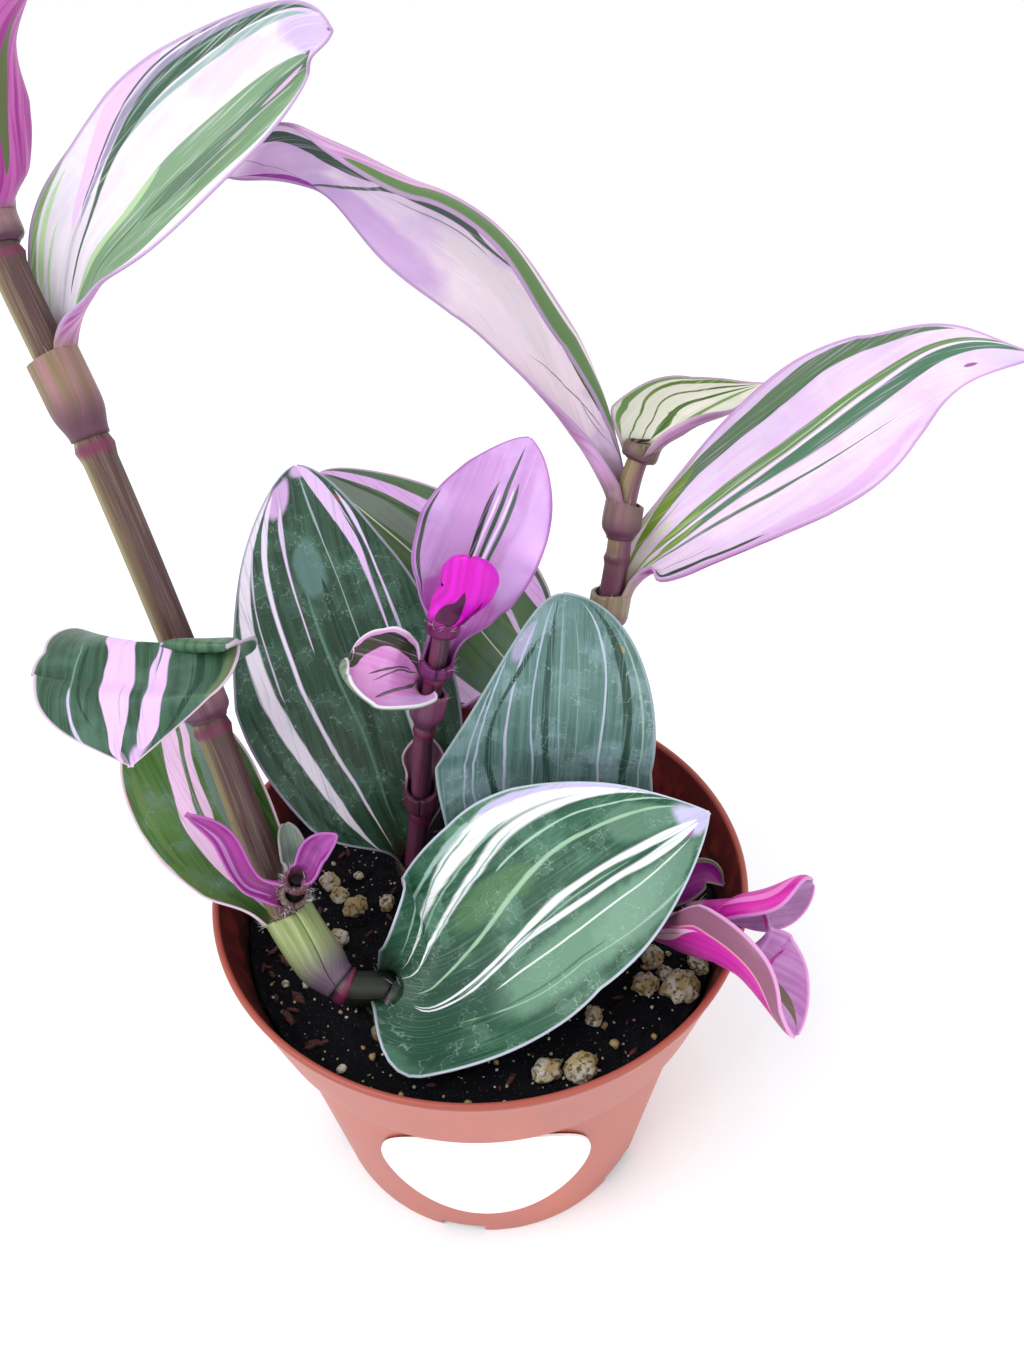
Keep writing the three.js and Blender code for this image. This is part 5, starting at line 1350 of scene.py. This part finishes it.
# The leaves of the right stem, each clasping it with its sheath: the stiff grey-green upright leaf
# with chalky water marks, a small magenta leaf, a rolled leaf, and the soft one that hangs over the
# rim of the pot and shows its magenta under side.
grow_leaf(
    "leaf_right_upright", hairs=12, seed=61,
    form=dict(
        clasps=("stem_right", 1.38, 1.65),
        blade=[(13.2, 2.7, 81.8), (14.2, 4.2, 95.1), (15.4, 4.6, 114.5), (16, 11, 134.8)],
        face=[(0.45, -0.9, 0), (0, -0.95, 0.2), (0, -0.9, 0.4)],
        half=21.3, widest=0.33, foot=0.6, tip=0.44, flare=0.15, left=(0.8, 1.1, 0.55),
        right=(1.05, 0.9, 1.1), cup=(50, 14, 15), wave=(0.4, 2),
    ),
    look=leaf_finish(
        "grey_leaf_skin", ("5f7e78", "70908c", "9cb4ba"), margin="a8b8bc", marks=0.45,
        sheath=("6a3f58", "a58496"),
        strokes=[
            ("b4bed2", (10, 55, 1), (35, 78, 1.2), (50, 75, 1.4), (60, 82, 1.4), (72, 90, 1.4)),
            ("b9c3d6", (10, 45, 1), (40, 69, 1.4), (50, 68, 1.5), (60, 75, 1.5), (70, 83, 1.6),
                (80, 91, 1.8)),
            ("c3c3d9", (10, 28, 1), (40, 42, 1.6), (50, 42, 1.8), (60, 50, 2), (70, 58, 2), (80, 66, 2.5),
                (90, 70, 3)),
            ("b4bfd0", (10, 12, 1), (42, 17, 1.4), (50, 18, 1.5), (60, 25, 1.6), (70, 32, 1.8), (80, 37, 2),
                (95, 43, 3)),
            ("94aeb0", (10, -4, 0.8), (45, -5, 1), (70, 0, 1.2), (95, -3, 1.4)),
            ("86a49c", (10, -15, 0.8), (50, -20, 1), (70, -20, 1.2), (95, -25, 1)),
            ("c0cad6", (10, -33, 1), (43, -45, 2), (55, -44, 2), (70, -48, 2), (80, -53, 2), (95, -58, 2)),
            ("3c5a4e", (10, -60, 3), (50, -70, 5), (70, -72, 6), (95, -75, 4)),
            ("3c5a50", (10, 36, 2), (50, 56, 4), (70, 70, 3), (85, 55, 5)),
            ("40605a", (10, 0, 3), (50, 7, 4), (70, 16, 5), (95, 20, 5)),
            ("a3bab4", (10, -78, 0.8), (50, -86, 1), (90, -88, 1.2)),
        ],
        patches=[
            ("bcb0d4", (0.88, 0.78), (0.06, 0.18), 0.75), ("b9a27c", (0.86, -0.78), (0.012, 0.06), 0.9),
            ("6f9088", (0.75, -0.2), (0.12, 0.3), 0.5),
        ],
    ),
)
grow_leaf(
    "leaf_right_small", rows=60, columns=28, hairs=30, seed=62,
    form=dict(
        clasps=("stem_right", 2, 2.2),
        blade=[(30, -6.5, 76.5), (38, -7, 79), (44, -5.5, 80.5), (47.5, -6.5, 77.5)],
        face=[(0, -0.95, 0.3), (0, -0.85, 0.55), (0, -0.85, 0.55)],
        half=4.5, cup=(95, 50, 30),
    ),
    look=leaf_finish(
        "small_leaf_skin", ("8f1489", "a62c9c", "74106e"), margin="8a8f78", under=("8f1489", "a8349f"),
        strokes=[
            ("8a947c", (10, 85, 10), (90, 85, 12)),
        ],
        under_strokes=[
            ("8a947c", (10, 80, 10), (90, 80, 12)),
        ],
    ),
)
grow_leaf(
    "leaf_right_rolled", rows=70, columns=32, hairs=20, seed=63,
    form=dict(
        clasps=("stem_right", 3.65, 3.95),
        blade=[(48.3, -17.4, 85.7), (50, -18.9, 88.6), (60.1, -17.5, 90.9)],
        face=[(0.2, -0.9, -0.4), (-0.3, -0.85, -0.4), (-0.05, -0.9, 0.4)],
        half=6.9, widest=0.54, foot=0.77, tip=0.66, left=(0.7, 1.15, 1.25), right=(0.8, 1.05, 1.25),
        cup=(94, 93, 68),
    ),
    look=leaf_finish(
        "rolled_leaf_skin", ("c8a0cc", "d6b2d8", "b88ab8"), margin="dca4d8", under=("c820a4", "d83cb4"),
        sheath=("8f5a7a", "c49ab4"),
        strokes=[
            ("7c7a60", (30, 30, 10), (70, 30, 14), (95, 30, 10)),
        ],
        under_strokes=[
            ("8f1c78", (10, 10, 5), (80, 10, 5)),
            # Painted highlight: a light pink line along the magenta under side.
            ("e88ad0", (30, 60, 2), (90, 68, 4)),
        ],
    ),
)
grow_leaf(
    "leaf_right_hanging", rows=100, columns=40, hairs=14, seed=64,
    form=dict(
        clasps=("stem_right", 2.7, 2.95),
        blade=[
            (37.2, -24.4, 82.8), (40, -32.1, 90.1), (43.5, -37.5, 92.6), (47.9, -42.1, 89.3),
            (51.6, -45, 85.6),
        ],
        face=[(0.75, 0.4, 0.55), (0.55, 0.8, 0.2), (0.65, 0.15, 0.75)],
        half=9.2, widest=0.67, foot=0.66, tip=0.67, flare=0.12, left=(0.5, 1.7, 1.75), right=(0.5, 1, 0.55),
        cup=(32, 72, 75), wave=(0.3, 2),
    ),
    look=leaf_finish(
        "hanging_leaf_skin", ("cf94ce", "dbb0dc", "c484c2"), margin="e6b4e0", under=("d848b8", "c83aa8"),
        gloss=0.36, sheath=("a8788c", "d6b8c0"),
        strokes=[
            ("8a8068", (60, 30, 4), (80, 40, 10), (95, 50, 8)),
        ],
        under_strokes=[
            ("9c6a84", (16, -92, 6), (30, -84, 14), (50, -80, 20), (70, -76, 22), (90, -72, 20)),
            ("ecc9dc", (3, -35, 26), (15, -42, 24), (25, -48, 18), (36, -52, 10), (48, -52, 3)),
            ("e070b8", (6, -45, 2), (20, -50, 2.5), (35, -50, 2)),
            # Painted highlight: a pale pink line along the under side.
            ("e2a0b4", (30, -68, 2), (50, -60, 2.5), (70, -54, 3), (90, -52, 3)),
            ("8a7c5c", (10, -80, 5), (20, -80, 5), (30, -86, 4)),
            ("b04a94", (30, 60, 5), (60, 50, 5), (90, 40, 5)),
        ],
    ),
)

# The crown bud: a tiny leaf tip of green and brown, still rolled up. It stands on the soil in the axil
# of the front leaf, and is a closed body of rings that lean a little and taper to its tip.
BUD_AT, BUD_TALL, BUD_SIDES, BUD_RINGS, BUD_SEAT = (-18, -31.5), 4.5, 24, 24, 0.1
BUD_RADII, BUD_LEAN, BUD_FOLD = [1.1, 1.5, 1.3, 0.4], (-0.25, -0.1), 0.08
bud_foot = SOIL_TOP + BUD_SEAT + soil_relief(*BUD_AT)
bud_points = []
for i in range(BUD_RINGS + 1):
    share = i / BUD_RINGS
    station = 3 * share
    reach = float(np.interp(station, range(4), BUD_RADII)) * (1 - 0.5 * share**8)
    for k in range(BUD_SIDES):
        angle = TURN * k / BUD_SIDES
        folded = reach * (1 + BUD_FOLD * math.sin(2 * angle + 0.5 * station))
        x = BUD_AT[0] + BUD_LEAN[0] * station + folded * math.cos(angle)
        y = BUD_AT[1] + BUD_LEAN[1] * station + folded * math.sin(angle)
        bud_points.append((x, y, bud_foot + BUD_TALL * share))
bud = mesh_piece("crown_bud_tip", bud_points, tube(BUD_RINGS + 1, BUD_SIDES), sharp=50)
rolled = Finish("bud_skin", roughness=0.45)
folds = rolled.grain(rolled.stretch(rolled.place(), (1, 1, 0.15)), 1400, 3)
rolled.feed("Base Color", rolled.blend(rolled.ease(folds, 0.4, 0.6), colour("5f7350"), colour("8f6f62")))
rolled.ridges(folds, 0.4, 0.2)
bud.data.materials.append(rolled.material)
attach(bud, "root")
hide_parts("crown_bud")

# The stage: a pale floor of matt card, a soft studio light from the upper left with a weaker one from
# the right, a white room, and the camera where the photograph was taken, looking down on the pot.
FLOOR_HALF, ROOM_LIGHT = 6000, 1.05
corners = [(x * FLOOR_HALF, y * FLOOR_HALF, 0) for x, y in ((-1, -1), (1, -1), (1, 1), (-1, 1))]
floor = mesh_piece("studio_floor", corners, [(0, 1, 2, 3)])
card = Finish("floor_card", roughness=0.9)
weave = card.grain(card.place(), 30, 3)
card.feed("Base Color", card.blend(card.ease(weave, 0.3, 0.7), colour("f5f9fd"), colour("f8fcff")))
floor.data.materials.append(card.material)


def soft_light(name, place, size, power, tint, target=(0, 0, 0.1)):
    """A square soft light of a size in metres, at a place and turned to a target."""
    lamp = bpy.data.lights.new(name, "AREA")
    lamp.shape, lamp.size, lamp.energy, lamp.color = "SQUARE", size, power, tint
    stand = bpy.data.objects.new(name, lamp)
    stand.location = place
    stand.rotation_euler = (Vector(target) - Vector(place)).to_track_quat("-Z", "Y").to_euler()
    bpy.context.collection.objects.link(stand)


soft_light("key_light", place=(-0.7, -0.5, 1.1), size=0.7, power=8.2, tint=(1, 0.99, 0.98))
soft_light("fill_light", place=(0.9, -0.8, 0.6), size=1.2, power=3.2, tint=(0.97, 0.98, 1))
world = bpy.data.worlds.new("white_room")
world.use_nodes = True
world.node_tree.nodes["Background"].inputs["Color"].default_value = (1, 1, 1, 1)
world.node_tree.nodes["Background"].inputs["Strength"].default_value = ROOM_LIGHT
bpy.context.scene.world = world
bpy.context.scene.view_settings.view_transform = "Standard"

# The eye is in millimetres, the focal length and the height of the picture in its pixels.
EYE, PITCH, ROLL = Vector((7.0, -140.79, 237.54)), math.radians(38.831), math.radians(-1.2313)
FOCAL, PICTURE_HEIGHT, SENSOR_HEIGHT = 1050, 1365, 36
ahead = Vector((0, math.cos(PITCH), -math.sin(PITCH)))
level_right, level_up = Vector((1, 0, 0)), Vector((0, math.sin(PITCH), math.cos(PITCH)))
right = level_right * math.cos(ROLL) + level_up * math.sin(ROLL)
up = level_up * math.cos(ROLL) - level_right * math.sin(ROLL)
lens = bpy.data.cameras.new("photo_camera")
lens.sensor_fit, lens.sensor_height = "VERTICAL", SENSOR_HEIGHT
lens.lens = FOCAL / PICTURE_HEIGHT * SENSOR_HEIGHT
lens.clip_start, lens.clip_end = 0.01, 30
camera = bpy.data.objects.new("photo_camera", lens)
camera.matrix_world = Matrix.Translation(EYE * MM) @ Matrix((right, up, -ahead)).transposed().to_4x4()
bpy.context.collection.objects.link(camera)
bpy.context.scene.camera = camera
